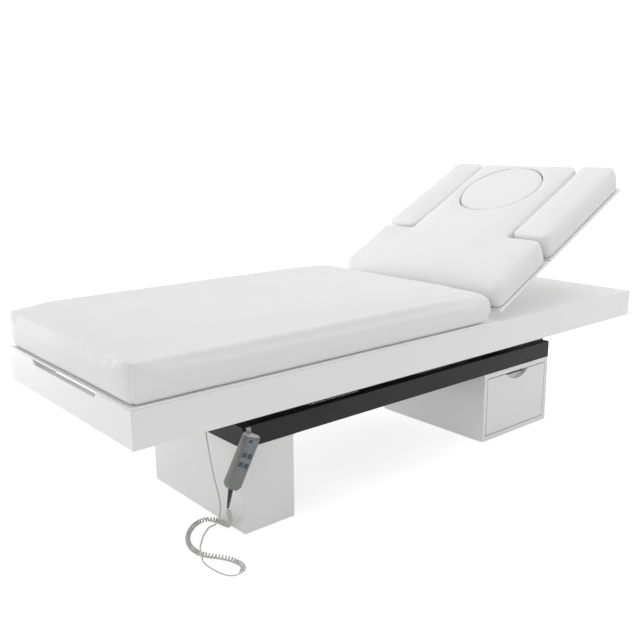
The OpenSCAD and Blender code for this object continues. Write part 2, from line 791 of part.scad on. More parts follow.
module arm_pair(p, play) {
    tip = arm_tip(p);
    difference() {
        union() {
            both_sides() {
                link(p, tip, arm_h / 2, arm_y - arm_t / 2, arm_y + arm_t / 2);
                across(tip, hub_r, arm_y - hub_w / 2, arm_y + hub_w / 2);
            }
            across(p, torsion_r, -arm_y - hub_w / 2, arm_y + hub_w / 2);
            children();
        }
        across(p, torsion_bore_r, -arm_y - hub_w, arm_y + hub_w);
        both_sides() across(tip, pin_d / 2 + play, arm_y - hub_w, arm_y + hub_w);
    }
}

// The foot arms carry the lever that the lift drive pushes
module foot_arms() {
    tip = lever_tip(arm_tilt);
    color(black) {
        arm_pair(foot_pivot, fit)
            both_sides() link(foot_pivot, tip, cheek_r, cheek_y, cheek_y + cheek_t);
        across(tip, pin_d / 2, -cheek_y - cheek_t, cheek_y + cheek_t);
    }
}

module head_arms() {
    color(black) arm_pair(head_pivot, head_play);
}

module arm_bushes(p) {
    color([0.75, 0.62, 0.32]) both_sides() difference() {
        across(p, torsion_bore_r, arm_y + hub_w / 2 - bush_l, arm_y + hub_w / 2);
        across(p, shaft_d / 2 + fit, arm_y - hub_w, arm_y + hub_w);
    }
}

module foot_arm_bushes() { arm_bushes(foot_pivot); }
module head_arm_bushes() { arm_bushes(head_pivot); }

// Platform

// A side panel of the surround, mitred at both ends
module side_panel() {
    translate([0, 0, deck_z - surround_h]) linear_extrude(surround_h)
        polygon([[foot_x, -bed_w / 2], [head_x, -bed_w / 2], [head_x - panel_t, panel_t - bed_w / 2],
            [foot_x + panel_t, panel_t - bed_w / 2]]);
}

// An end panel, mitred to fit
module end_panel() {
    translate([0, 0, deck_z - surround_h]) linear_extrude(surround_h)
        polygon([[foot_x, -bed_w / 2], [foot_x + panel_t, panel_t - bed_w / 2],
            [foot_x + panel_t, bed_w / 2 - panel_t], [foot_x, bed_w / 2]]);
}

module near_panel() { color(white) side_panel(); }
module far_panel() { color(white) mirror([0, 1, 0]) side_panel(); }
module head_panel() { color(white) mirror([1, 0, 0]) end_panel(); }

// The hand hole under the mattress board, its ends slightly slanted
module foot_panel() {
    color(white) difference() {
        end_panel();
        translate([foot_x - over, 0, 0]) rotate([90, 0, 90]) linear_extrude(panel_t + 2 * over)
            polygon([[-notch_l / 2 - over, deck_z + over], [notch_h - notch_l / 2, deck_z - notch_h],
                [notch_l / 2 - notch_h, deck_z - notch_h], [notch_l / 2 + over, deck_z + over]]);
    }
}

deck_split_gap = 46;
deck_joint = 0.5;
deck_split_x = hinge_x - deck_split_gap;
hand_room = 60;
deck_half = bed_w / 2 - panel_t;

module foot_deck() {
    color(white) difference() {
        translate([foot_x + panel_t, -deck_half, deck_under_z])
            cube([deck_split_x - foot_x - panel_t, 2 * deck_half, panel_t]);
        translate([foot_x + panel_t - over, -notch_l / 2, deck_under_z - over])
            cube([hand_room + over, notch_l, panel_t + 2 * over]);
    }
}

slot_start_gap = 33;
slot_end_gap = 232;
slot_start = hinge_x + slot_start_gap;
slot_end = hinge_x + slot_end_gap;
slot_w = 54;

// The head deck has a slot for the backrest drive
module head_deck() {
    color(white) difference() {
        translate([deck_split_x + deck_joint, -deck_half, deck_under_z])
            cube([head_x - panel_t - deck_split_x - deck_joint, 2 * deck_half, panel_t]);
        translate([slot_start, -slot_w / 2, deck_under_z - over])
            cube([slot_end - slot_start, slot_w, panel_t + 2 * over]);
    }
}

// Two long tubes, and aprons of sheet that close the gap over the rails when
// the bed is down
module platform_tubes() {
    color(black) both_sides() {
        tube_x(tube_foot_x, tube_head_x, arm_y - tube_w / 2, tube_z, tube_w, tube_h);
        translate([apron_foot_x, base_w / 2 - apron_inset - apron_t, apron_z])
            cube([apron_head_x - apron_foot_x, apron_t, deck_under_z - apron_z]);
    }
}

module platform_crossbars() {
    color(black) for (x = crossbar_xs)
        tube_y(x, tube_w / 2 - arm_y, arm_y - tube_w / 2, tube_z, crossbar_w, tube_h);
}

clevis_in_y = arm_y - tube_w / 2 - clevis_t;
clevis_out_y = arm_y + tube_w / 2;

// Pairs of cheeks welded to the sides of the platform tubes
module upper_pivot_brackets() {
    color(black) both_sides() for (p = [arm_tip(foot_pivot), arm_tip(head_pivot)])
        for (y = [clevis_in_y, clevis_out_y]) difference() {
            union() {
                translate([p[0] - clevis_w / 2, y, p[1]])
                    cube([clevis_w, clevis_t, tube_z + tube_h / 2 - p[1]]);
                across(p, clevis_w / 2, y, y + clevis_t);
            }
            across(p, pin_d / 2 + fit, y - over, y + clevis_t + over);
            for (x = crossbar_xs) translate([x, 0, tube_z])
                cube([crossbar_w, clevis_in_y + clevis_t, tube_h]);
        }
}

module upper_pivot_pins() {
    color(steel) both_sides() for (p = [arm_tip(foot_pivot), arm_tip(head_pivot)])
        across(p, pin_d / 2, clevis_in_y, clevis_out_y + clevis_t);
}

nose_up = 100;
nose_down = 42;
nose_tip_share = 0.5;
nose_x = hinge_x - nose_setback;
mattress_board_x = nose_x - nose_down;

module mattress_board() {
    color(white) translate([foot_x, -bed_w / 2, deck_z])
        cube([mattress_board_x - foot_x, bed_w, mattress_board_t]);
}

module mattress() {
    z0 = deck_z + mattress_board_t + soft_gap;
    color(vinyl) cushion(foot_x + side_edge_gap / 2, nose_x, side_edge_gap - bed_w / 2,
        bed_w / 2 - side_edge_gap, z0, mattress_t, foam_edge_r, crown_h,
        head_nose = [nose_up, nose_down, nose_tip_share * mattress_t]);
}

leaf_y = back_tube_y + back_tube_w;

// Two lugs on the deck that hold the backrest's hinge pins
module hinge_brackets() {
    y0 = leaf_y + hinge_leaf_t + hinge_leaf_gap;
    foot_l = 30;
    foot_t = 3;
    color(steel) both_sides() {
        across(hinge, hinge_eye_r, y0, y0 + hinge_leaf_t);
        translate([hinge[0] - hinge_eye_r, y0, deck_z]) cube([2 * hinge_eye_r, hinge_leaf_t, hinge_rise]);
        translate([hinge[0] - hinge_eye_r, y0, deck_z]) cube([2 * hinge_eye_r, foot_l, foot_t]);
        across(hinge, hinge_pin_d / 2, leaf_y, y0);
    }
}

// Cheeks under the platform for the rear pin of the backrest drive
module backrest_motor_bracket() {
    rear = drive_rear;
    r = small_cheek_r;
    top = [drive_bar_x - r / 2, tube_z - r * 1.3];
    color(black) {
        both_sides() {
            link(rear, top, r, cheek_y, cheek_y + cheek_t);
            translate([drive_bar_x - crossbar_w / 2, cheek_y, tube_z - r])
                cube([crossbar_w, cheek_t, r]);
        }
        across(rear, pin_d / 2, -cheek_y - cheek_t, cheek_y + cheek_t);
    }
}

// Backrest, all drawn flat

block_end_x = back_front_x + block_l;
back_end_x = back_front_x + back_l;
pin_bar_xs = [for (s = socket_s_shares) back_front_x + s * back_l - back_tube_h / 2];
lever_bar_gap = 25;
lever_bar_x = drive_pin_flat[0] + lever_bar_gap;

// A solid bar across the backrest with round sockets for the pads' pins
module socket_bar(x) {
    half = middle_w / 2;
    difference() {
        translate([x, -half, back_tube_z]) cube([back_tube_h, 2 * half, back_tube_h]);
        both_sides() across([x + back_tube_h / 2, back_tube_z + back_tube_h / 2], pin_d / 2 + fit,
            half - pad_pin_l - 4 * over, half + over);
    }
}

leaf_x0 = hinge[0] - hinge_eye_r;
leaf_l = 90;

// Side tubes, let in at the socket bars, with the hinge leaves on them
module backrest_side_tubes() {
    color(black) tilted() both_sides() difference() {
        union() {
            translate([back_front_x, back_tube_y, back_tube_z])
                cube([back_l - board_setback, back_tube_w, back_tube_h]);
            across(hinge, hinge_eye_r, leaf_y, leaf_y + hinge_leaf_t);
            translate([leaf_x0, leaf_y, back_tube_z])
                cube([2 * hinge_eye_r, hinge_leaf_t, hinge[1] - back_tube_z]);
            translate([leaf_x0, leaf_y, back_tube_z]) cube([leaf_l, hinge_leaf_t, back_tube_h]);
        }
        across(hinge, hinge_pin_d / 2 + fit, leaf_y - over, leaf_y + hinge_leaf_t + over);
        for (x = pin_bar_xs) translate([x, back_tube_y - over, back_tube_z - over])
            cube([back_tube_h, back_tube_w + 2 * over, back_tube_h + 2 * over]);
    }
}

// Crossbars, with the cheeks that the backrest drive pushes
module backrest_crossbars() {
    color(black) tilted() {
        both_sides() link(drive_pin_flat, [lever_bar_x + back_tube_h / 2, back_under_z - small_cheek_r],
            small_cheek_r, cheek_y, cheek_y + cheek_t);
        across(drive_pin_flat, pin_d / 2, -cheek_y - cheek_t, cheek_y + cheek_t);
        for (x = [back_front_x + back_tube_w, lever_bar_x]) translate([x, -back_tube_y, back_tube_z])
            cube([back_tube_h, 2 * back_tube_y, back_tube_h]);
        for (x = pin_bar_xs) socket_bar(x);
    }
}

module backrest_board() {
    half = bed_w / 2 - side_edge_gap;
    color(white) tilted() difference() {
        union() {
            translate([back_front_x, -half, back_under_z]) cube([block_l, 2 * half, back_board_t]);
            translate([back_front_x, -middle_w / 2, back_under_z]) cube([back_l, middle_w, back_board_t]);
        }
        translate([plug_x, 0, back_under_z - over]) cylinder(d = face_hole_d, h = back_board_t + 2 * over, $fn = 96);
    }
}

back_nose = [70, 4, 22];

module backrest_cushion() {
    half = bed_w / 2 - side_edge_gap;
    z0 = back_top_z + soft_gap;
    color(vinyl) tilted() difference() {
        union() {
            cushion(back_front_x + nose_gap, block_end_x, -half, half, z0, back_foam_t, foam_edge_r,
                crown_h, foot_nose = back_nose, tuck = 4);
            cushion(back_front_x + block_l / 4, back_end_x, -middle_w / 2, middle_w / 2, z0,
                back_foam_t, foam_edge_r, crown_h, corner = 40, tuck = 4);
        }
        translate([plug_x, 0, z0 - over])
            cylinder(d = plug_d + 2 * plug_clear, h = back_foam_t + crown_h + 2 * over, $fn = 96);
    }
}

pad_x0 = back_front_x + pad_start;
pad_x1 = back_front_x + pad_end;
pad_y0 = middle_w / 2 + pad_gap;
pad_y1 = bed_w / 2 - side_edge_gap;

// The board of a side pad, with two battens and the pins that hold it
module pad_board() {
    tilted() {
        translate([pad_x0, pad_y0, back_under_z]) cube([pad_x1 - pad_x0, pad_y1 - pad_y0, back_board_t]);
        for (x = pin_bar_xs) {
            mid = [x + back_tube_h / 2, back_tube_z + back_tube_h / 2];
            translate([x, pad_y0 + pad_gap, back_tube_z])
                cube([pad_batten_w, pad_y1 - pad_y0 - 8 * pad_gap, back_tube_h]);
            across(mid, pin_d / 2, middle_w / 2 - pad_pin_l, pad_y0 + pad_gap);
        }
    }
}

module pad_foam() {
    tilted() cushion(pad_x0, pad_x1, pad_y0, pad_y1, back_top_z + soft_gap, back_foam_t,
        foam_edge_r, crown_h * 0.4, corner = 22, tuck = 4);
}

module far_pad_board() { color(white) pad_board(); }
module far_pad() { color(vinyl) pad_foam(); }
module near_pad_board() { color(white) mirror([0, 1, 0]) pad_board(); }
module near_pad() { color(vinyl) mirror([0, 1, 0]) pad_foam(); }

// The round plug in the face opening, crowned and turned
module face_plug() {
    r = plug_d / 2;
    edge = 14;
    t = back_foam_t + crown_h;
    side = t - edge - crown_h * 0.2;
    color(vinyl) tilted() translate([plug_x, 0, back_top_z + soft_gap]) rotate_extrude($fn = 96)
        polygon(concat([[0, 0], [r - 3, 0], [r, side * 0.4]],
            arc([r - edge, side], edge, 0, 70, 5),
            [[r * 0.6, t - crown_h * 0.06], [0, t]]));
}

// Drawer

front_w = bay_w - 2 * drawer_gap;
front_z0 = glide_h + cabinet_t + drawer_gap;
front_z1 = cabinet_h - cabinet_t - drawer_gap;
front_x0 = head_cabinet_x + cabinet_t + drawer_gap;
box_rise = 8;
box_below = 14;
finger_r = (pow(finger_l / 2, 2) + pow(finger_h, 2)) / (2 * finger_h);

module drawer_front() {
    color(white) difference() {
        translate([front_x0, -base_w / 2, front_z0]) cube([front_w, drawer_front_t, front_z1 - front_z0]);
        translate([front_x0 + front_w / 2, -base_w / 2 - over, front_z1 - finger_h + finger_r])
            rotate([-90, 0, 0]) cylinder(r = finger_r, h = drawer_front_t + 2 * over, $fn = 96);
    }
}

// The drawer box, with the moving half of each runner on its sides
module drawer_box() {
    box_side = 2 * runner_t + runner_gap;
    x0 = head_cabinet_x + cabinet_t + box_side;
    x1 = base_head_x - cabinet_t - box_side;
    y0 = -base_w / 2 + drawer_front_t;
    z0 = front_z0 + box_rise;
    z1 = front_z1 - box_below;
    color([0.9, 0.9, 0.88]) {
        difference() {
            translate([x0, y0, z0]) cube([x1 - x0, drawer_depth, z1 - z0]);
            translate([x0 + drawer_side_t, y0 + drawer_side_t, z0 + drawer_bottom_t])
                cube([x1 - x0 - 2 * drawer_side_t, drawer_depth - 2 * drawer_side_t, z1 - z0]);
        }
        runner_strip(x0 - runner_t, runner_y, runner_z);
        runner_strip(x1, runner_y, runner_z);
    }
}

// Drives, drawn along +X from the rear pin and then turned and placed

module drive_body(rear, tilt, tube_l, bore_from, motor_from) {
    tube_r = drive_tube_d / 2;
    translate([rear[0], 0, rear[1]]) rotate([0, -tilt, 0]) difference() {
        union() {
            across([0, 0], eye_r, -eye_w / 2, eye_w / 2);
            translate([0, -eye_w / 2, -stem_h / 2]) cube([gear_start + over, eye_w, stem_h]);
            translate([gear_start, -gear_w / 2, -gear_h / 2]) cube([gear_l, gear_w, gear_h]);
            translate([gear_start + gear_l, 0, 0]) rotate([0, 90, 0])
                cylinder(r = tube_r, h = tube_l - gear_start - gear_l);
            translate([motor_from, motor_y - over, 0]) rotate([0, 90, 0])
                cylinder(d = motor_d, h = motor_l);
        }
        across([0, 0], pin_d / 2 + fit, -eye_w, eye_w);
        translate([bore_from, 0, 0]) rotate([0, 90, 0])
            cylinder(r = drive_rod_d / 2 + fit, h = tube_l);
    }
}

// A rod from its rear end to the eye, whose hole is round or a slot
module drive_rod(rear, tilt, rear_end, eye_at, hole_r, slot_half) {
    outer = hole_r + eye_wall;
    translate([rear[0], 0, rear[1]]) rotate([0, -tilt, 0]) difference() {
        union() {
            translate([rear_end, 0, 0]) rotate([0, 90, 0])
                cylinder(r = drive_rod_d / 2, h = eye_at - slot_half - hole_r - rear_end);
            link([eye_at - slot_half, 0], [eye_at + slot_half, 0], outer, -eye_w / 2, eye_w / 2);
        }
        link([eye_at - slot_half, 0], [eye_at + slot_half, 0], hole_r, -eye_w, eye_w);
    }
}

tube_short = 32;
rod_back = 280;
rod_grip = 20;
lift_motor_from = 46;

module lift_motor() {
    color(steel) drive_body(lift_rear, lift_tilt, norm(lift_start) - tube_short,
        norm(lift_start) - rod_back - rod_grip, lift_motor_from);
}

module lift_rod() {
    hole_r = pin_d / 2 + lift_play;
    color([0.8, 0.8, 0.82]) drive_rod(lift_rear, lift_tilt, norm(lift_start) - rod_back,
        lift_reach, hole_r, web_relief / 10);
}

back_tube_short = 28;
back_bore_from = 98;
back_rod_from = 106;
back_motor_from = -26;

module backrest_motor() {
    color(steel) drive_body(drive_rear, drive_angle, drive_chord(0) - back_tube_short,
        back_bore_from, back_motor_from);
}

module backrest_rod() {
    hole_r = pin_d / 2 + slot_play;
    color([0.8, 0.8, 0.82]) drive_rod(drive_rear, drive_angle, back_rod_from + drive_rate * back_tilt,
        drive_slot_at, hole_r, drive_slot_half);
}

echo(lift_mm_per_degree = lift_rate, lift_swing_ratio = lift_swing, lift_sag = lift_sag, lift_bow = lift_bow);
echo(back_mm_per_degree = drive_rate, back_sag = drive_sag, back_angle = drive_angle, lift_tilt = lift_tilt);
echo(hinge = hinge, drive_rear = drive_rear, lift_rear = lift_rear, foot_pivot = foot_pivot,
    head_pivot = head_pivot, foot_tip = arm_tip(foot_pivot), head_tip = arm_tip(head_pivot));

foot_cabinet();
head_cabinet();
head_cabinet_back();
cabinet_glides();
near_rail();
far_rail();
foot_crossbar();
motor_crossbar();
head_crossbar();
base_pivot_brackets();
foot_pivot_shaft();
head_pivot_shaft();
control_box();
cord_gland();
fixed_runners();
handset_bracket();
handset_back_shell();
handset_front_shell();
handset_key_panel();
handset_hook();
strain_relief();
cord_tail();
cord_curl();
foot_arms();
foot_arm_bushes();
head_arms();
head_arm_bushes();
near_panel();
far_panel();
foot_panel();
head_panel();
foot_deck();
head_deck();
platform_tubes();
platform_crossbars();
upper_pivot_brackets();
upper_pivot_pins();
mattress_board();
mattress();
hinge_brackets();
backrest_motor_bracket();
backrest_side_tubes();
backrest_crossbars();
backrest_board();
backrest_cushion();
near_pad_board();
near_pad();
far_pad_board();
far_pad();
face_plug();
drawer_front();
drawer_box();
lift_motor();
lift_rod();
backrest_motor();
backrest_rod();
key_lift_up();
key_lift_down();
key_back_up();
key_back_down();
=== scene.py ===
import bpy
import bmesh
import json
import math
from mathutils import Matrix, Vector, noise


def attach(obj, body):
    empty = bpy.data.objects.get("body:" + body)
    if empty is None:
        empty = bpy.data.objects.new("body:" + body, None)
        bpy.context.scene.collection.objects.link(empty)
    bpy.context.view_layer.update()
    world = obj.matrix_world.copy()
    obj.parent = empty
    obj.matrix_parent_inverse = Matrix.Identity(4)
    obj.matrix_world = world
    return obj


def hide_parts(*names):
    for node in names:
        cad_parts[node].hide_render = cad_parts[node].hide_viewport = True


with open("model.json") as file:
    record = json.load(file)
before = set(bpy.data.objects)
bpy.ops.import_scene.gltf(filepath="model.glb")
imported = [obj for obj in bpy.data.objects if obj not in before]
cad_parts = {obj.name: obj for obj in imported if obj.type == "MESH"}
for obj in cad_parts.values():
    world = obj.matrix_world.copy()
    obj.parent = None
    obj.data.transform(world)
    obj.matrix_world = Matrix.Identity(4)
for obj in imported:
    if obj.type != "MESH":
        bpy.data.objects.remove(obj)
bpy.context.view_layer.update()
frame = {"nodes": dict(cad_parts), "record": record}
nodes = frame["nodes"]
scene = bpy.context.scene
scene.view_settings.view_transform = "Standard"
mm = 0.001
print("frame loaded:", len(nodes), "nodes")


viewpoint = {
    "place": (-1.8784, -1.9597, 1.0938),
    "azimuth": -40.338,
    "elevation": 12.779,
    "roll": -0.314,
    "lens": 45.08,
}


def setCamera(v):
    a, e, r = (math.radians(v[k]) for k in ("azimuth", "elevation", "roll"))
    back = Vector((math.sin(a) * math.cos(e), -math.cos(a) * math.cos(e), math.sin(e)))
    side = (-back).cross(Vector((0, 0, 1))).normalized()
    up = side.cross(-back)
    right = side * math.cos(r) + up * math.sin(r)
    top = up * math.cos(r) - side * math.sin(r)
    data = bpy.data.cameras.new("photoView")
    data.lens, data.sensor_width = v["lens"], 36
    data.clip_start, data.clip_end = 0.1, 200
    camera = bpy.data.objects.new("photoView", data)
    turn = Matrix((right, top, back)).transposed().to_4x4()
    camera.matrix_world = Matrix.Translation(v["place"]) @ turn
    scene.collection.objects.link(camera)
    scene.camera = camera


setCamera(viewpoint)

studio = {
    "skyStrength": 0.58,
    "floorColour": (0.86, 0.86, 0.86, 1),
    "floorLift": 0.62,       # seen by the camera only, so that the lit floor is white
    "lamps": [               # name, place, aimed at, size, watts
        ("overhead", (0.3, -0.4, 4.2), (0, 0, 0.5), 3.6, 51),
        ("nearRight", (3.4, -3.6, 1.5), (0.3, 0, 0.3), 2.4, 23),
        ("footLeft", (-4.1, -0.9, 0.7), (-0.6, 0, 0.3), 2.6, 14),
        ("farLow", (-1.4, 3.4, 0.6), (0.3, 0, 0.15), 1.6, 60),
    ],
}


def cameraOnly(tree, seen, unseen):
    # Mixes two shaders: what the camera and mirrors see, and what lights the object
    path = tree.nodes.new("ShaderNodeLightPath")
    glossy = tree.nodes.new("ShaderNodeMath")
    glossy.operation = "MAXIMUM"
    either = tree.nodes.new("ShaderNodeMath")
    either.operation = "MAXIMUM"
    mix = tree.nodes.new("ShaderNodeMixShader")
    tree.links.new(path.outputs["Is Camera Ray"], glossy.inputs[0])
    tree.links.new(path.outputs["Is Glossy Ray"], glossy.inputs[1])
    tree.links.new(glossy.outputs[0], either.inputs[0])
    tree.links.new(path.outputs["Is Transmission Ray"], either.inputs[1])
    tree.links.new(either.outputs[0], mix.inputs[0])
    tree.links.new(unseen, mix.inputs[1])
    tree.links.new(seen, mix.inputs[2])
    return mix.outputs[0]


def buildStudio(s):
    world = bpy.data.worlds.new("studioSky")
    scene.world = world
    world.use_nodes = True
    tree = world.node_tree
    tree.nodes.clear()
    out = tree.nodes.new("ShaderNodeOutputWorld")
    seen = tree.nodes.new("ShaderNodeBackground")
    lit = tree.nodes.new("ShaderNodeBackground")
    for background, strength in ((seen, 1), (lit, s["skyStrength"])):
        background.inputs["Color"].default_value = (1, 1, 1, 1)
        background.inputs["Strength"].default_value = strength
    tree.links.new(cameraOnly(tree, seen.outputs[0], lit.outputs[0]), out.inputs[0])

    bm = bmesh.new()
    bmesh.ops.create_grid(bm, x_segments=1, y_segments=1, size=30)
    floor = meshObject("studioFloor", bm)
    mat = bpy.data.materials.new("studioFloor")
    mat.use_nodes = True
    tree = mat.node_tree
    shader = tree.nodes["Principled BSDF"]
    shader.inputs["Base Color"].default_value = s["floorColour"]
    shader.inputs["Roughness"].default_value = 0.9
    shader.inputs["Specular IOR Level"].default_value = 0
    lift = tree.nodes.new("ShaderNodeEmission")
    lift.inputs["Strength"].default_value = s["floorLift"]
    both = tree.nodes.new("ShaderNodeAddShader")
    tree.links.new(shader.outputs[0], both.inputs[0])
    tree.links.new(lift.outputs[0], both.inputs[1])
    tree.links.new(cameraOnly(tree, both.outputs[0], shader.outputs[0]),
                   tree.nodes["Material Output"].inputs[0])
    floor.data.materials.append(mat)

    for name, place, aim, size, watts in s["lamps"]:
        data = bpy.data.lights.new(name, "AREA")
        data.shape, data.size, data.energy = "DISK", size, watts
        lamp = bpy.data.objects.new(name, data)
        lamp.location = place
        lamp.rotation_euler = (Vector(aim) - Vector(place)).to_track_quat("-Z", "Y").to_euler()
        scene.collection.objects.link(lamp)


def meshObject(name, bm, smooth=False):
    mesh = bpy.data.meshes.new(name)
    for f in bm.faces:
        f.smooth = smooth
    bm.to_mesh(mesh)
    bm.free()
    obj = bpy.data.objects.new(name, mesh)
    scene.collection.objects.link(obj)
    return obj


buildStudio(studio)
print("camera and studio set")


def startGroup(name, inputs, outputs):
    group = bpy.data.node_groups.new(name, "ShaderNodeTree")
    for label, kind, value in inputs:
        socket = group.interface.new_socket(label, in_out="INPUT", socket_type=kind)
        socket.default_value = value
    for label, kind in outputs:
        group.interface.new_socket(label, in_out="OUTPUT", socket_type=kind)
    return group, group.nodes.new("NodeGroupInput"), group.nodes.new("NodeGroupOutput")


def add(tree, kind, **settings):
    n = tree.nodes.new("ShaderNode" + kind)
    for k, v in settings.items():
        setattr(n, k, v)
    return n


def makeGrain():
    # Fine pebbled grain: cells for the pebbles and noise that breaks them up
    g, gi, go = startGroup("fineGrain",
                           [("Scale", "NodeSocketFloat", 900), ("Break Up", "NodeSocketFloat", 0.4)],
                           [("Height", "NodeSocketFloat")])
    at = add(g, "TexCoord")
    cells = add(g, "TexVoronoi", feature="SMOOTH_F1")
    rough = add(g, "TexNoise")
    rough.inputs["Detail"].default_value = 3
    mix = add(g, "Mix", data_type="FLOAT")
    for t in (cells, rough):
        g.links.new(at.outputs["Object"], t.inputs["Vector"])
        g.links.new(gi.outputs["Scale"], t.inputs["Scale"])
    g.links.new(gi.outputs["Break Up"], mix.inputs[0])
    g.links.new(cells.outputs["Distance"], mix.inputs[2])
    g.links.new(rough.outputs["Fac"], mix.inputs[3])
    g.links.new(mix.outputs[0], go.inputs["Height"])
    return g


def makeTone():
    # Slow drift between two near colours, with faint specks of dust
    white = (1, 1, 1, 1)
    g, gi, go = startGroup("slowTone",
                           [("Colour", "NodeSocketColor", white), ("Drift", "NodeSocketColor", white),
                            ("Scale", "NodeSocketFloat", 6), ("Dust", "NodeSocketFloat", 0.1)],
                           [("Color", "NodeSocketColor")])
    at = add(g, "TexCoord")
    slow = add(g, "TexNoise")
    slow.inputs["Detail"].default_value = 1
    dust = add(g, "TexNoise")
    dust.inputs["Scale"].default_value = 420
    ramp = add(g, "MapRange", interpolation_type="SMOOTHERSTEP")
    ramp.inputs["From Min"].default_value, ramp.inputs["From Max"].default_value = 0.2, 0.8
    specks = add(g, "MapRange")
    specks.inputs["From Min"].default_value, specks.inputs["From Max"].default_value = 0.62, 0.78
    amount = add(g, "Math", operation="MULTIPLY")
    tone = add(g, "Mix", data_type="RGBA")
    last = add(g, "Mix", data_type="RGBA")
    last.inputs[7].default_value = (0.62, 0.61, 0.58, 1)
    for t in (slow, dust):
        g.links.new(at.outputs["Object"], t.inputs["Vector"])
    g.links.new(gi.outputs["Scale"], slow.inputs["Scale"])
    g.links.new(slow.outputs["Fac"], ramp.inputs["Value"])
    g.links.new(dust.outputs["Fac"], specks.inputs["Value"])
    g.links.new(specks.outputs["Result"], amount.inputs[0])
    g.links.new(gi.outputs["Dust"], amount.inputs[1])
    g.links.new(ramp.outputs["Result"], tone.inputs[0])
    g.links.new(gi.outputs["Colour"], tone.inputs[6])
    g.links.new(gi.outputs["Drift"], tone.inputs[7])
    g.links.new(tone.outputs[2], last.inputs[6])
    g.links.new(amount.outputs[0], last.inputs[0])
    g.links.new(last.outputs[2], go.inputs["Color"])
    return g


def makeGloss():
    # Roughness that wanders between two values
    g, gi, go = startGroup("glossDrift", [("Low", "NodeSocketFloat", 0.3), ("High", "NodeSocketFloat", 0.4),
                                          ("Scale", "NodeSocketFloat", 12)],
                           [("Roughness", "NodeSocketFloat")])
    at = add(g, "TexCoord")
    slow = add(g, "TexNoise")
    slow.inputs["Detail"].default_value = 2
    span = add(g, "MapRange")
    span.inputs["From Min"].default_value, span.inputs["From Max"].default_value = 0.2, 0.8
    g.links.new(at.outputs["Object"], slow.inputs["Vector"])
    g.links.new(gi.outputs["Scale"], slow.inputs["Scale"])
    g.links.new(slow.outputs["Fac"], span.inputs["Value"])
    g.links.new(gi.outputs["Low"], span.inputs["To Min"])
    g.links.new(gi.outputs["High"], span.inputs["To Max"])
    g.links.new(span.outputs["Result"], go.inputs["Roughness"])
    return g


def makeBrush():
    # Fine turned or drawn lines along one direction
    g, gi, go = startGroup("drawnLines",
                           [("Stretch", "NodeSocketVector", (2, 300, 300)), ("Scale", "NodeSocketFloat", 8)],
                           [("Height", "NodeSocketFloat")])
    at = add(g, "TexCoord")
    place = add(g, "Mapping")
    lines = add(g, "TexNoise")
    lines.inputs["Detail"].default_value = 2
    g.links.new(at.outputs["Object"], place.inputs["Vector"])
    g.links.new(gi.outputs["Stretch"], place.inputs["Scale"])
    g.links.new(place.outputs[0], lines.inputs["Vector"])
    g.links.new(gi.outputs["Scale"], lines.inputs["Scale"])
    g.links.new(lines.outputs["Fac"], go.inputs["Height"])
    return g


fineGrain, slowTone, glossDrift, drawnLines = makeGrain(), makeTone(), makeGloss(), makeBrush()

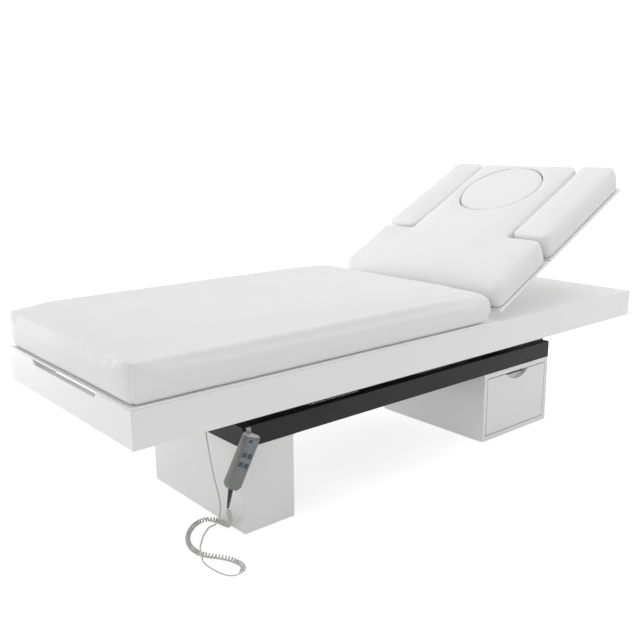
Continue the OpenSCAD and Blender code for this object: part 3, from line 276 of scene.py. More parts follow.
# colour, drift colour, roughness low and high, grain scale, bump distance, dust, extras
finishes = {
    "lacquer": {"colour": (0.86, 0.86, 0.857), "drift": (0.857, 0.857, 0.854), "gloss": (0.28, 0.3),
                "grain": 420, "bump": 0.000004, "dust": 0, "coat": 0.25},
    "drawer_board": {"colour": (0.80, 0.80, 0.785), "drift": (0.77, 0.77, 0.755), "gloss": (0.4, 0.55),
                     "grain": 520, "bump": 0.000012, "dust": 0.06},
    "vinyl": {"colour": (0.84, 0.84, 0.84), "drift": (0.83, 0.83, 0.833), "gloss": (0.5, 0.6),
              "grain": 900, "bump": 0.00004, "dust": 0, "sheen": 0.12},
    "frame_black": {"colour": (0.015, 0.015, 0.0155), "drift": (0.02, 0.02, 0.0205), "gloss": (0.42, 0.55),
                    "grain": 1300, "bump": 0.00006, "dust": 0.02, "specular": 0.22},
    "steel": {"colour": (0.56, 0.57, 0.58), "drift": (0.48, 0.49, 0.5), "gloss": (0.24, 0.38),
              "lines": (300, 2, 300), "bump": 0.00006, "dust": 0.05, "metal": 1},
    "runner_steel": {"colour": (0.62, 0.64, 0.66), "drift": (0.5, 0.53, 0.55), "gloss": (0.3, 0.45),
                     "lines": (300, 2, 300), "bump": 0.00005, "dust": 0.1, "metal": 1},
    "bronze": {"colour": (0.5, 0.34, 0.15), "drift": (0.4, 0.26, 0.11), "gloss": (0.3, 0.45),
               "lines": (300, 2, 300), "bump": 0.00005, "dust": 0.1, "metal": 1},
    "drive_case": {"colour": (0.04, 0.04, 0.043), "drift": (0.055, 0.055, 0.058), "gloss": (0.42, 0.55),
                   "grain": 1500, "bump": 0.0002, "dust": 0.08},
    "rod_steel": {"colour": (0.7, 0.71, 0.73), "drift": (0.62, 0.63, 0.65), "gloss": (0.12, 0.2),
                  "lines": (3, 300, 300), "bump": 0.00002, "dust": 0.03, "metal": 1},
    "box_plastic": {"colour": (0.012, 0.012, 0.013), "drift": (0.02, 0.02, 0.021), "gloss": (0.4, 0.52),
                    "grain": 1500, "bump": 0.0002, "dust": 0.05},
    "glide_plastic": {"colour": (0.2, 0.2, 0.2), "drift": (0.15, 0.15, 0.15), "gloss": (0.5, 0.65),
                      "grain": 1200, "bump": 0.0001, "dust": 0.15},
    "handset_grey": {"colour": (0.175, 0.186, 0.178), "drift": (0.19, 0.194, 0.184), "gloss": (0.4, 0.52),
                     "grain": 2400, "bump": 0.00005, "dust": 0.04},
    "panel_film": {"colour": (0.15, 0.185, 0.21), "drift": (0.175, 0.2, 0.215), "gloss": (0.22, 0.32),
                   "grain": 1800, "bump": 0.00004, "dust": 0.04, "coat": 0.3},
    "key_rubber": {"colour": (0.045, 0.06, 0.085), "drift": (0.06, 0.075, 0.1), "gloss": (0.5, 0.62),
                   "grain": 2600, "bump": 0.00008, "dust": 0.05},
    "hook_plastic": {"colour": (0.56, 0.56, 0.55), "drift": (0.5, 0.5, 0.49), "gloss": (0.38, 0.5),
                     "grain": 2200, "bump": 0.0001, "dust": 0.06},
    "relief_rubber": {"colour": (0.035, 0.035, 0.038), "drift": (0.05, 0.05, 0.052), "gloss": (0.5, 0.65),
                      "grain": 2400, "bump": 0.00012, "dust": 0.08},
    "cord_plastic": {"colour": (0.66, 0.66, 0.65), "drift": (0.58, 0.58, 0.57), "gloss": (0.34, 0.46),
                     "grain": 1600, "bump": 0.00005, "dust": 0.06},
}


def makeFinish(name, f):
    mat = bpy.data.materials.new(name)
    mat.use_nodes = True
    tree = mat.node_tree
    shader = tree.nodes["Principled BSDF"]
    tone = add(tree, "Group", node_tree=slowTone)
    tone.inputs["Colour"].default_value = (*f["colour"], 1)
    tone.inputs["Drift"].default_value = (*f["drift"], 1)
    tone.inputs["Dust"].default_value = f["dust"]
    tree.links.new(tone.outputs["Color"], shader.inputs["Base Color"])
    gloss = add(tree, "Group", node_tree=glossDrift)
    gloss.inputs["Low"].default_value, gloss.inputs["High"].default_value = f["gloss"]
    tree.links.new(gloss.outputs["Roughness"], shader.inputs["Roughness"])
    if "lines" in f:
        relief = add(tree, "Group", node_tree=drawnLines)
        relief.inputs["Stretch"].default_value = f["lines"]
    else:
        relief = add(tree, "Group", node_tree=fineGrain)
        relief.inputs["Scale"].default_value = f["grain"]
    bump = add(tree, "Bump")
    bump.inputs["Distance"].default_value = f["bump"]
    bump.inputs["Strength"].default_value = 1
    tree.links.new(relief.outputs["Height"], bump.inputs["Height"])
    tree.links.new(bump.outputs[0], shader.inputs["Normal"])
    shader.inputs["Metallic"].default_value = f.get("metal", 0)
    shader.inputs["Specular IOR Level"].default_value = f.get("specular", 0.5)
    shader.inputs["Coat Weight"].default_value = f.get("coat", 0)
    shader.inputs["Coat Roughness"].default_value = 0.15
    shader.inputs["Sheen Weight"].default_value = f.get("sheen", 0)
    return mat


finish = {name: makeFinish(name, f) for name, f in finishes.items()}
lampRed = makeFinish("lampRed", {"colour": (0.42, 0.035, 0.03), "drift": (0.36, 0.03, 0.025),
                                 "gloss": (0.1, 0.16), "grain": 900, "bump": 0.00002, "dust": 0.03,
                                 "coat": 0.4})
slotOf = {s["node"]: s["material_slot"] for s in frame["record"]["subparts"]}
bodyOf = {n: b for b, ns in frame["record"]["behaviour"]["bodies"].items() for n in ns}
for name, obj in nodes.items():
    obj.data.materials.clear()
    obj.data.materials.append(finish[slotOf[name]])
print("finishes made:", len(finish))


def place(obj, body, slotName, replaced=()):
    obj.data.materials.clear()
    obj.data.materials.append(finish[slotName])
    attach(obj, body)
    if replaced:
        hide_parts(*replaced)
    return obj


cordShape = {
    "diameter": 4.2, "curlDiameter": 15, "curls": 66, "perCurl": 20,
    "tail": [(-716, -104, 289), (-724, -105, 289), (-731, -108, 284), (-734, -113, 270),
             (-735, -122, 240), (-736, -136, 194), (-738, -155, 148), (-741, -178, 110), (-744, -190, 80),
             (-742, -184, 50), (-738, -168, 24), (-742, -154, 7), (-758, -150, 2.5), (-780, -166, 2.5),
             (-802, -186, 2.5), (-826, -214, 2.5), (-840, -232, 5), (-850, -247, 13), (-857, -260, 19),
             (-866, -276, 19.5), (-873, -292, 12), (-877, -310, 4), (-877, -340, 2.5), (-872, -378, 2.5),
             (-862, -402, 2.5), (-850, -412, 2.6), (-841, -414, 3)],
    "coil": [(-841, -414, 3), (-833, -414, 5.5), (-823, -410, 8), (-814, -399, 8), (-811, -378, 8),
             (-816, -350, 8), (-832, -318, 8), (-854, -287, 8), (-865, -252, 8), (-861, -212, 8),
             (-844, -174, 8), (-819, -143, 8), (-790, -120, 8), (-761, -110, 8), (-737, -116, 8),
             (-724, -138, 8.5), (-722, -170, 11), (-728, -202, 20), (-741, -231, 42), (-756, -256, 68),
             (-768, -271, 90)],
    "handsetTop": (-687, 308), "handsetLength": 160, "handsetLean": 29, "handsetY": -277,
    "reliefLength": 54, "reliefLean": 12,
    "ribs": {"count": 9, "first": 4, "pitch": 5.2, "radius": 3.1, "widen": 0.42},
}


def smoothLine(route, step):
    # Catmull-Rom line through the route's points
    pts, out = [Vector(p) for p in route], []
    for i in range(len(pts) - 1):
        p, q, r, s = pts[max(i - 1, 0)], pts[i], pts[i + 1], pts[min(i + 2, len(pts) - 1)]
        cuts = max(1, math.ceil((r - q).length / step))
        for j in range(cuts + (i == len(pts) - 2)):
            t = j / cuts
            out.append(0.5 * (2 * q + (r - p) * t + (2 * p - 5 * q + 4 * r - s) * t * t
                              + (3 * q - p - 3 * r + s) * t ** 3))
    return out


def reliefTip(c):
    lean, relief = math.radians(c["handsetLean"]), math.radians(c["reliefLean"])
    foot = Vector((c["handsetTop"][0] - c["handsetLength"] * math.sin(lean), c["handsetY"],
                   c["handsetTop"][1] - c["handsetLength"] * math.cos(lean)))
    way = Vector((math.sin(relief), 0, math.cos(relief)))
    return foot - c["reliefLength"] * way, way


def woundLine(c):
    # Curls wound round the coil's line with side directions carried along untwisted
    tip, way = reliefTip(c)
    axis = smoothLine(c["coil"] + [tip - c["diameter"] * way, tip], 6)
    dirs = [Vector((1, 0, 0.1)).normalized()]
    dirs += [(axis[i + 1] - axis[i - 1]).normalized() for i in range(1, len(axis) - 1)] + [way]
    side, sides = Vector((0, 1, 0)), []
    for d in dirs:
        side = (side - side.dot(d) * d).normalized()
        sides.append(side)
    run = [0]
    for a, b in zip(axis, axis[1:]):
        run.append(run[-1] + (b - a).length)
    n = c["curls"] * c["perCurl"]
    reach, points, k = (c["curlDiameter"] - c["diameter"]) / 2, [axis[0]], 0
    for i in range(n + 1):
        s = c["diameter"] + (run[-1] - 2 * c["diameter"]) * i / n
        while k < len(axis) - 2 and run[k + 1] < s:
            k += 1
        t = min(1, (s - run[k]) / (run[k + 1] - run[k]))
        centre = axis[k].lerp(axis[k + 1], t)
        u = sides[k].lerp(sides[k + 1], t).normalized()
        d = dirs[k].lerp(dirs[k + 1], t).normalized()
        a = 2 * math.pi * i / c["perCurl"]
        w = reach * min(1, i / c["perCurl"], (n - i) / c["perCurl"])
        points.append(centre + w * (math.cos(a) * u + math.sin(a) * d.cross(u)))
    return points + [tip]


def turned(name, outline, origin, way, steps=32):
    # A closed form spun round a line from [radius, distance] pairs in millimetres
    bm = bmesh.new()
    verts = [bm.verts.new((r * mm, 0, h * mm)) for r, h in outline]
    edges = [bm.edges.new(pair) for pair in zip(verts, verts[1:])]
    bmesh.ops.spin(bm, geom=verts + edges, cent=(0, 0, 0), axis=(0, 0, 1), dvec=(0, 0, 0),
                   angle=2 * math.pi, steps=steps, use_merge=True, use_duplicate=False)
    bmesh.ops.remove_doubles(bm, verts=bm.verts, dist=1e-6)
    bmesh.ops.recalc_face_normals(bm, faces=bm.faces)
    turn = Vector((0, 0, 1)).rotation_difference(Vector(way)).to_matrix().to_4x4()
    bmesh.ops.transform(bm, matrix=Matrix.Translation(Vector(origin) * mm) @ turn, verts=bm.verts)
    return meshObject(name, bm, smooth=True)


def makeRelief(c):
    # Tapered rubber sleeve with flexing ribs, from the cord to the handset's foot
    tip, way = reliefTip(c)
    rib, ribs = c["ribs"], []
    for i in range(rib["count"]):
        h, r = rib["first"] + i * rib["pitch"], rib["radius"] + i * rib["widen"]
        ribs += [(r + 0.45, h), (r + 0.6, h + 0.5), (r + 0.6, h + 2.3),
                 (r + 0.4, h + 2.8), (r - 0.5, h + 3.3), (r - 0.5, h + 4.5)]
    outline = [(0, 0), (2.7, 0), (3, 0.5), (3.1, 3.4)] + ribs + [(6.9, 51), (6.9, 55), (0, 55)]
    obj = turned("strainRelief", outline, tip, way)
    return place(obj, "base", "relief_rubber", ("strain_relief",))


def makeCord(c):
    points = smoothLine(c["tail"], 5)[:-1] + woundLine(c)
    curve = bpy.data.curves.new("handsetCord", "CURVE")
    curve.dimensions = "3D"
    curve.bevel_depth = c["diameter"] / 2 * mm
    curve.bevel_resolution = 3
    curve.use_fill_caps = True
    line = curve.splines.new("POLY")
    line.points.add(len(points) - 1)
    for spot, p in zip(line.points, points):
        spot.co = (*(p * mm), 1)
    line.use_smooth = True
    obj = bpy.data.objects.new("handsetCord", curve)
    scene.collection.objects.link(obj)
    place(obj, "base", "cord_plastic", ("cord_tail", "cord_curl"))
    makeRelief(c)


makeCord(cordShape)


easedEdges = {   # millimetres of bevel
    "foot_cabinet": 1.2, "head_cabinet": 1.2, "head_cabinet_back": 0.6, "near_panel": 1, "far_panel": 1,
    "foot_panel": 1, "head_panel": 1, "foot_deck": 0.8, "head_deck": 0.8, "mattress_board": 2.4,
    "backrest_board": 1.5, "drawer_front": 1.2, "drawer_box": 0.8, "near_rail": 0.9, "far_rail": 0.9,
    "foot_crossbar": 0.9, "head_crossbar": 2, "platform_tubes": 0.5, "platform_crossbars": 3,
    "control_box": 2, "handset_bracket": 0.5, "handset_hook": 0.9, "fixed_runners": 0.8,
    "near_pad_board": 1.2, "far_pad_board": 1.2, "motor_crossbar": 2, "base_pivot_brackets": 0.8,
    "upper_pivot_brackets": 0.8, "backrest_side_tubes": 2.5, "hinge_brackets": 0.6, "lift_motor": 1.5,
    "backrest_motor": 1.5, "cord_gland": 0.6,
}


def nodeMesh(node, matrix=None):
    # A merged copy of a CAD node, without the lines across its flat faces
    bm = bmesh.new()
    bm.from_mesh(nodes[node].data)
    bmesh.ops.remove_doubles(bm, verts=bm.verts, dist=1e-5)
    if matrix:
        bmesh.ops.transform(bm, matrix=matrix, verts=bm.verts)
    bmesh.ops.dissolve_limit(bm, angle_limit=math.radians(2), verts=bm.verts, edges=bm.edges)
    return bm


def softenEdges(bm, edges, width, segments=3):
    bmesh.ops.bevel(bm, geom=edges, offset=width * mm, offset_type="OFFSET", segments=segments, profile=0.5,
                    affect="EDGES", clamp_overlap=True, material=-1)


railGap = {"y": (221, 230), "z": (318, 325)}   # between a rail and the apron over it, on both sides


def besideGap(edge):
    # Left sharp, because easing these would let light through under the apron
    return all(railGap["y"][0] * mm < abs(v.co.y) < railGap["y"][1] * mm and
               railGap["z"][0] * mm < v.co.z < railGap["z"][1] * mm for v in edge.verts)


def easeNode(node, width):
    bm = nodeMesh(node)
    sharp = [e for e in bm.edges if len(e.link_faces) == 2 and e.calc_face_angle(0) > math.radians(35)
             and not besideGap(e)]
    softenEdges(bm, sharp, width)
    return place(meshObject(node + "Eased", bm), bodyOf[node], slotOf[node], (node,))


for node, width in easedEdges.items():
    easeNode(node, width)
print("edges eased:", len(easedEdges))

handset = {
    "top": (-687, -277, 308), "lean": 29, "shellEase": 2.2, "face": -13, "back": 13,
    "filmTop": -14, "filmFoot": -122, "filmWas": (-26, -112), "filmCorner": 4,
    "rimHalf": 21, "rimTop": -13, "rimFoot": -150,
    "cap": {"width": 46.7, "thick": 26.7, "high": 15, "round": 14.2, "ease": 2.6,
            "cutLeft": -12.5, "cutRight": -5},
    "lamp": {"at": (11.5, -9), "radius": 2.3, "rise": 1.1},
    "window": {"at": (-7, -22), "size": (13, 9), "ease": 1.2},
    "keyEase": 1.1,
    "arrow": {"radius": 3.4, "front": 3.1, "high": 0.5},
    "marks": [(-9, -36, 9, 1.6, 0), (-11, -40, 5, 1.6, 25), (9, -36, 9, 1.6, 0), (11, -40, 5, 1.6, -25),
              (-9, -47, 6, 1.4, 0), (9, -47, 6, 1.4, 0), (-9, -51, 9, 1.4, 0), (9, -51, 9, 1.4, 0),
              (-9, -103, 8, 1.5, 0), (9, -103, 8, 1.5, 0), (-9, -108, 3, 3, 45), (9, -108, 3, 3, 45),
              (-9, -114, 8, 1.2, 0), (9, -114, 8, 1.2, 0)],
    "markRise": 0.12,
}
hung = (Matrix.Translation(Vector(handset["top"]) * mm)
        @ Matrix.Rotation(math.radians(handset["lean"]), 4, "Y"))
upright = hung.inverted()


def finishHung(name, bm, slotName, body="base", replaced=()):
    bmesh.ops.transform(bm, matrix=hung, verts=bm.verts)
    obj = meshObject(name, bm, smooth=True)
    obj.data.set_sharp_from_angle(angle=math.radians(38))
    return place(obj, body, slotName, replaced)


def makeShells(h):
    for node, y in (("handset_front_shell", h["face"]), ("handset_back_shell", h["back"])):
        bm = nodeMesh(node, upright)

        def onRim(v):
            x, z = v.co.x / mm, v.co.z / mm
            return (abs(v.co.y / mm - y) < 0.05
                    and (abs(x) > h["rimHalf"] or z > h["rimTop"] or z < h["rimFoot"]))
        rim = [e for e in bm.edges if onRim(e.verts[0]) and onRim(e.verts[1]) and e.calc_face_angle(0) > 0.6]
        softenEdges(bm, rim, h["shellEase"], 4)
        name = node.replace("handset_", "").replace("_shell", "Shell")
        finishHung(name, bm, "handset_grey", replaced=(node,))


def makeCap(h):
    # Light cap over the top of both shells, cut off at a slant
    c = h["cap"]
    bm = bmesh.new()
    bmesh.ops.create_cube(bm, size=1)
    bmesh.ops.scale(bm, vec=Vector((c["width"], c["thick"], 2 * c["high"])) * mm, verts=bm.verts)
    bmesh.ops.translate(bm, vec=Vector((0, 0, 0.35 - c["high"])) * mm, verts=bm.verts)
    shoulders = [e for e in bm.edges if all(v.co.z > -1 * mm for v in e.verts)
                 and abs(e.verts[0].co.y - e.verts[1].co.y) > mm]
    softenEdges(bm, shoulders, c["round"], 8)
    rims = [e for e in bm.edges if abs(e.verts[0].co.y - e.verts[1].co.y) < 1e-6
            and (all(v.co.z > (0.3 - 1.9 * c["high"]) * mm for v in e.verts)
                 or abs(e.verts[0].co.z - e.verts[1].co.z) > 5 * mm)]
    softenEdges(bm, rims, c["ease"], 4)
    slant = math.atan2(c["cutRight"] - c["cutLeft"], c["width"])
    cut = bmesh.ops.bisect_plane(bm, geom=bm.verts[:] + bm.edges[:] + bm.faces[:], dist=1e-6,
                                 plane_co=(0, 0, (c["cutLeft"] + c["cutRight"]) / 2 * mm),
                                 plane_no=(math.sin(slant), 0, -math.cos(slant)), clear_outer=True)
    loop = [e for e in cut["geom_cut"] if isinstance(e, bmesh.types.BMEdge)]
    bmesh.ops.edgeloop_fill(bm, edges=loop)
    bmesh.ops.recalc_face_normals(bm, faces=bm.faces)
    finishHung("handsetCap", bm, "hook_plastic")


def makeFilm(h):
    bm = nodeMesh("handset_key_panel", upright)
    for v in bm.verts:
        if v.co.z / mm > h["filmWas"][0] - 0.5:
            v.co.z = h["filmTop"] * mm
        elif v.co.z / mm < h["filmWas"][1] + 0.5:
            v.co.z = h["filmFoot"] * mm
    middle, half = (h["filmTop"] + h["filmFoot"]) / 2, (h["filmTop"] - h["filmFoot"]) / 2
    corners = [e for e in bm.edges if abs(e.verts[0].co.y - e.verts[1].co.y) > 0.5 * mm
               and abs(abs(e.verts[0].co.z / mm - middle) - half) < 0.5]
    softenEdges(bm, corners, h["filmCorner"], 5)
    finishHung("handsetFilm", bm, "panel_film", replaced=("handset_key_panel",))


def makeMarks(h):
    # Plain bars and lozenges printed on the film, and the dark window over them
    bm = bmesh.new()
    front = h["face"] - 0.8
    for x, z, wide, high, turn in h["marks"]:
        bar = bmesh.ops.create_cube(bm, size=1)["verts"]
        bmesh.ops.scale(bm, vec=Vector((wide, 2 * h["markRise"], high)) * mm, verts=bar)
        bmesh.ops.rotate(bm, matrix=Matrix.Rotation(math.radians(turn), 3, "Y"), verts=bar)
        bmesh.ops.translate(bm, vec=Vector((x, front, z)) * mm, verts=bar)
    finishHung("filmMarks", bm, "key_rubber")
    w = h["window"]
    bm = bmesh.new()
    bmesh.ops.create_cube(bm, size=1)
    bmesh.ops.scale(bm, vec=Vector((w["size"][0], 1.2, w["size"][1])) * mm, verts=bm.verts)
    bmesh.ops.translate(bm, vec=Vector((w["at"][0], front, w["at"][1])) * mm, verts=bm.verts)
    softenEdges(bm, [e for e in bm.edges if abs(e.verts[0].co.y - e.verts[1].co.y) > 0.5 * mm], w["ease"], 4)
    finishHung("stateWindow", bm, "key_rubber")
    lamp = h["lamp"]
    bm = bmesh.new()
    bmesh.ops.create_uvsphere(bm, u_segments=20, v_segments=12, radius=lamp["radius"] * mm)
    bmesh.ops.scale(bm, vec=(1, lamp["rise"] / lamp["radius"], 1), verts=bm.verts)
    bmesh.ops.translate(bm, vec=Vector((lamp["at"][0], h["face"] - 0.3, lamp["at"][1])) * mm, verts=bm.verts)
    obj = finishHung("stateLamp", bm, "panel_film")
    obj.data.materials[0] = lampRed


def makeKeys(h):
    # Rubber keys with a raised arrow, which points up or down
    a = h["arrow"]
    for node, down in (("key_lift_up", 0), ("key_lift_down", 1), ("key_back_up", 0), ("key_back_down", 1)):
        bm = nodeMesh(node, upright)
        front = min(v.co.y for v in bm.verts)
        rim = [e for e in bm.edges if all(abs(v.co.y - front) < 1e-5 for v in e.verts)]
        x = sum(v.co.x for v in bm.verts) / len(bm.verts)
        z = sum(v.co.z for v in bm.verts) / len(bm.verts)
        softenEdges(bm, rim, h["keyEase"], 3)
        arrow = bmesh.ops.create_cone(bm, cap_ends=True, segments=3, radius1=a["radius"] * mm,
                                      radius2=a["front"] * mm, depth=a["high"] * mm)["verts"]
        bmesh.ops.rotate(bm, matrix=Matrix.Rotation(math.radians(90), 3, "X"), verts=arrow)
        bmesh.ops.rotate(bm, matrix=Matrix.Rotation(math.radians(180 * down), 3, "Y"), verts=arrow)
        bmesh.ops.translate(bm, vec=(x, front, z), verts=arrow)
        for f in {f for v in arrow for f in v.link_faces}:
            f.material_index = 1
        words = node.split("_")
        obj = finishHung(words[1] + words[2].title() + "Key", bm, "key_rubber", bodyOf[node], (node,))
        obj.data.materials.append(finish["hook_plastic"])


makeShells(handset)
makeCap(handset)
makeFilm(handset)
makeMarks(handset)
makeKeys(handset)
print("handset made")


backTilt, hingeLine = math.radians(27.7), Vector((0.242, 0, 0.533))
layFlat = (Matrix.Translation(hingeLine) @ Matrix.Rotation(backTilt, 4, "Y")
           @ Matrix.Translation(-hingeLine))

# Millimetres, with the back laid flat. tops: foot, head, near and far edge of each flat top.
# fade: along the bed, from no growth beside the hinge to all of it. end: where the free end widens.
cushions = {
    "mattressCushion": {
        "node": "mattress", "voxel": 7, "flat": False, "bottom": 497.3, "thick": 104,
        "crown": 20, "reach": 80, "tops": [(-1066, 129, -350, 350)], "sewn": True,
        "inset": 1, "cap": 3.5, "pressure": 3, "fill": 0.95,
        "crisp": 24, "taller": 7, "wider": 8, "fade": (129, -71), "end": (-1016, -1096)},
    "backCushion": {
        "node": "backrest_cushion", "voxel": 6, "flat": True, "bottom": 524.3, "thick": 92,
        "crown": 10, "reach": 110, "tops": [(326, 523, -350, 350), (326, 1020, -202, 202)],
        "inset": 1.4, "cap": 4, "pressure": 3, "fill": 0.9,
        "crisp": 18, "taller": 4, "wider": 5, "fade": (386, 586), "end": (968, 1048),
        "beside": {"from": 556.5, "half": 230.8, "blockEnd": 551.8}},
    "nearPad": {
        "node": "near_pad", "voxel": 5, "flat": True, "bottom": 524.3, "thick": 92, "crown": 5, "reach": 110,
        "tops": [(587, 1023, -350, -262)], "inset": 1.2, "cap": 3, "pressure": 3, "fill": 0.9,
        "crisp": 18, "taller": 4, "wider": 5, "fade": (386, 586), "end": (968, 1048),
        "beside": {"inner": 233.2, "foot": 558.2}},
    "farPad": {
        "node": "far_pad", "voxel": 5, "flat": True, "bottom": 524.3, "thick": 92, "crown": 5, "reach": 110,
        "tops": [(587, 1023, 262, 350)], "inset": 1.2, "cap": 3, "pressure": 3, "fill": 0.9,
        "crisp": 18, "taller": 4, "wider": 5, "fade": (386, 586), "end": (968, 1048),
        "beside": {"inner": 233.2, "foot": 558.2}},
    "facePlug": {
        "node": "face_plug", "voxel": 4, "flat": True, "bottom": 524.3, "thick": 102,
        "crown": 0, "reach": 110, "tops": [], "inset": 0.6, "cap": 1, "pressure": 0, "fill": 0.95,
        "crisp": 0, "taller": 5, "wider": 0, "fade": (386, 586), "end": (968, 1048)},
}
flareFrom = (300, 378)   # across the bed, where widening starts and is full
taut = {"power": 5, "facing": 0.05, "band": 34}
foam = {"topBand": 6, "topFacing": 0.8, "footBand": 4, "passes": 4, "roundPasses": 3,
        "swell": 0.7, "slow": 7, "fast": 19, "fastShare": 0.5}
cover = {"heldBand": 6, "quality": 3, "mass": 0.3, "stretch": 30, "shear": 15, "bend": 2, "frames": 10}


def ramp(value, start, full):
    return min(1, max(0, (value - start) / (full - start)))


def tightened(v, c, top):
    # How far a round top edge moves out to look stretched, and not at all beside the hinge line
    up, power = v.normal.z, taut["power"]
    if up < taut["facing"] or v.co.z < top - taut["band"] * mm:
        return 0
    across = math.sqrt(max(0, 1 - up * up))
    rise = (across ** power + up ** power) ** (-1 / power) - 1
    return c["crisp"] * rise * ramp(v.co.x / mm, *c["fade"]) * mm


def grow(bm, c):
    # Taller and wider toward the top, but not beside the hinge line, where two cushions meet
    for v in bm.verts:
        x, y, z = v.co / mm
        share = max(0, (z - c["bottom"]) / c["thick"]) * ramp(x, *c["fade"])
        v.co.z += c["taller"] * share * mm
        v.co.y += c["wider"] * share * math.copysign(ramp(abs(y), *flareFrom), y) * mm
        v.co.x += c["wider"] * share * math.copysign(ramp(x, *c["end"]), c["end"][0]) * mm


def keepGap(bm, beside):
    # Where the back and a side pad face each other, pressure leaves the gap between them open
    for v in bm.verts:
        x, y = v.co.x / mm, v.co.y / mm
        if "inner" in beside:
            v.co.y = math.copysign(max(abs(y), beside["inner"]), y) * mm
            v.co.x = max(x, beside["foot"]) * mm
        elif x > beside["from"]:
            v.co.y = math.copysign(min(abs(y), beside["half"]), y) * mm
        elif abs(y) > beside["half"] + 1:
            v.co.x = min(x, beside["blockEnd"]) * mm


def crownAt(x, y, tops, reach):
    rest = 1
    for x0, x1, y0, y1 in tops:
        rise = 1
        for d, span in ((x - x0, x1 - x0), (x1 - x, x1 - x0), (y - y0, y1 - y0), (y1 - y, y1 - y0)):
            part = min(max(d, 0) / min(reach, span / 2), 1)
            rise *= 1 - (1 - part) ** 2
        rest *= 1 - rise
    return 1 - rest


def remeshed(obj, voxel):
    mod = obj.modifiers.new("remesh", "REMESH")
    mod.mode, mod.voxel_size = "VOXEL", voxel * mm
    shaped = bpy.data.meshes.new_from_object(obj.evaluated_get(bpy.context.evaluated_depsgraph_get()))
    obj.modifiers.clear()
    obj.data = shaped


def puffed(obj, c):
    # Cloth under pressure, its underside held, no point moving more than the cap
    before = [v.co.copy() for v in obj.data.vertices]
    held = obj.vertex_groups.new(name="held")
    low = (c["bottom"] + cover["heldBand"]) * mm
    held.add([v.index for v in obj.data.vertices if v.co.z < low], 1, "REPLACE")
    cloth = obj.modifiers.new("cloth", "CLOTH")
    s = cloth.settings
    s.quality, s.mass = cover["quality"], cover["mass"]
    s.tension_stiffness = s.compression_stiffness = cover["stretch"]
    s.shear_stiffness, s.bending_stiffness = cover["shear"], cover["bend"]
    s.use_pressure, s.uniform_pressure_force = True, c["pressure"]
    s.vertex_group_mass = "held"
    s.effector_weights.gravity = 0
    cloth.collision_settings.use_collision = False
    cloth.point_cache.frame_start, cloth.point_cache.frame_end = 1, cover["frames"]
    for f in range(1, cover["frames"] + 1):
        scene.frame_set(f)
    soft = bpy.data.meshes.new_from_object(obj.evaluated_get(bpy.context.evaluated_depsgraph_get()))
    obj.modifiers.clear()
    obj.vertex_groups.clear()
    for v, old in zip(soft.vertices, before):
        move = v.co - old
        if move.length > c["cap"] * mm:
            v.co = old + move.normalized() * c["cap"] * mm
    obj.data = soft
    scene.frame_set(1)


def smoothed(bm, times):
    for _ in range(times):
        bmesh.ops.smooth_vert(bm, verts=bm.verts, factor=0.5,
                              use_axis_x=True, use_axis_y=True, use_axis_z=True)


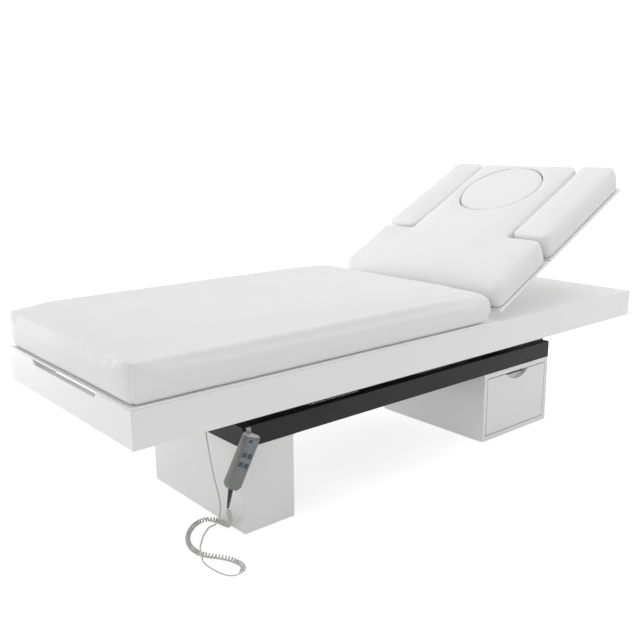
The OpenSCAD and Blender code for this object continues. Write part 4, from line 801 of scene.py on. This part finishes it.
def makeCushion(name, c):
    bm = bmesh.new()
    bm.from_mesh(nodes[c["node"]].data)
    bmesh.ops.remove_doubles(bm, verts=bm.verts, dist=1e-5)
    if c["flat"]:
        bmesh.ops.transform(bm, matrix=layFlat, verts=bm.verts)
    bm.normal_update()
    top = (c["bottom"] + c["thick"]) * mm
    obj = meshObject(name, bm)
    remeshed(obj, c["voxel"])
    bm = bmesh.new()
    bm.from_mesh(obj.data)
    smoothed(bm, foam["passes"])
    bm.normal_update()
    for v in bm.verts:
        x, y = v.co.x, v.co.y
        inside = any(x0 * mm < x < x1 * mm and y0 * mm < y < y1 * mm for x0, x1, y0, y1 in c["tops"])
        if inside and v.co.z > top - foam["topBand"] * mm and v.normal.z > foam["topFacing"]:
            rise = c["crown"] * crownAt(x / mm, y / mm, c["tops"], c["reach"])
            v.co.z = top + rise * mm
        elif v.co.z > (c["bottom"] + foam["footBand"]) * mm:
            v.co -= v.normal * (c["inset"] * mm - tightened(v, c, top))
    smoothed(bm, 1 if c["crisp"] else foam["roundPasses"])
    for v in bm.verts:   # slow unevenness of foam under a stretched cover
        swell = noise.noise(v.co * foam["slow"]) + foam["fastShare"] * noise.noise(v.co * foam["fast"])
        v.co += v.normal * swell * foam["swell"] * mm
        v.co.z = max(v.co.z, c["bottom"] * mm)
    bm.to_mesh(obj.data)
    bm.free()
    if c["pressure"]:
        puffed(obj, c)
    bm = bmesh.new()
    bm.from_mesh(obj.data)
    if c.get("sewn"):
        sewCorners(bm, c)
    grow(bm, c)
    if "beside" in c:
        keepGap(bm, c["beside"])
    for f in bm.faces:
        f.smooth = True
    if c["flat"]:
        bmesh.ops.transform(bm, matrix=layFlat.inverted(), verts=bm.verts)
    bm.to_mesh(obj.data)
    bm.free()
    place(obj, bodyOf[c["node"]], "vinyl", (c["node"],))
    print("cushion", name, len(obj.data.polygons), "faces")


cornerSeam = {"foot": -1094, "side": 378, "groove": 1.6, "width": 2.4, "ridge": 0.9, "ridgeAt": 5.5,
              "wing": 26, "wingDrop": 13, "wingDepth": 2.2, "wingSlope": 0.12, "wingWidth": 2.2,
              "lip": 0.8, "lipAt": 6, "lipWidth": 3, "topEase": 2, "topFade": 10, "near": 40,
              "nearMargin": 1.3}


def sewCorners(bm, c):
    # A sewn corner at both foot corners, with a tuck where it meets the top
    s = cornerSeam
    top = c["bottom"] + c["thick"]
    for sign in (-1, 1):
        def around(v):
            dx, dy = v.co.x / mm - s["foot"], s["side"] - sign * v.co.y / mm
            return (dx - dy) / math.sqrt(2), math.hypot(dx, dy)
        close = {v for v in bm.verts if around(v)[1] < s["near"]}
        edges = [e for e in bm.edges if e.verts[0] in close and e.verts[1] in close]
        bmesh.ops.subdivide_edges(bm, edges=edges, cuts=2, use_grid_fill=True)
        bm.normal_update()
        for v in bm.verts:
            t, far = around(v)
            h = v.co.z / mm
            if far > s["near"] * s["nearMargin"] or h < c["bottom"] + 0.5:
                continue
            upper = min(1, max(0, (top - s["topEase"] - h) / s["topFade"]))
            seam = (-s["groove"] * math.exp(-(t / s["width"]) ** 2)
                    + s["ridge"] * math.exp(-((abs(t) - s["ridgeAt"]) / s["width"]) ** 2))
            drop = h - (top - s["wingDrop"] + abs(t) * s["wingSlope"])
            fade = max(0, 1 - abs(t) / s["wing"])
            tuck = fade * (-s["wingDepth"] * math.exp(-(drop / s["wingWidth"]) ** 2)
                           + s["lip"] * math.exp(-((drop - s["lipAt"]) / s["lipWidth"]) ** 2))
            v.co += v.normal * (seam * upper + tuck) * mm
    bmesh.ops.triangulate(bm, faces=[f for f in bm.faces if len(f.verts) > 4])


for name, c in cushions.items():
    makeCushion(name, c)
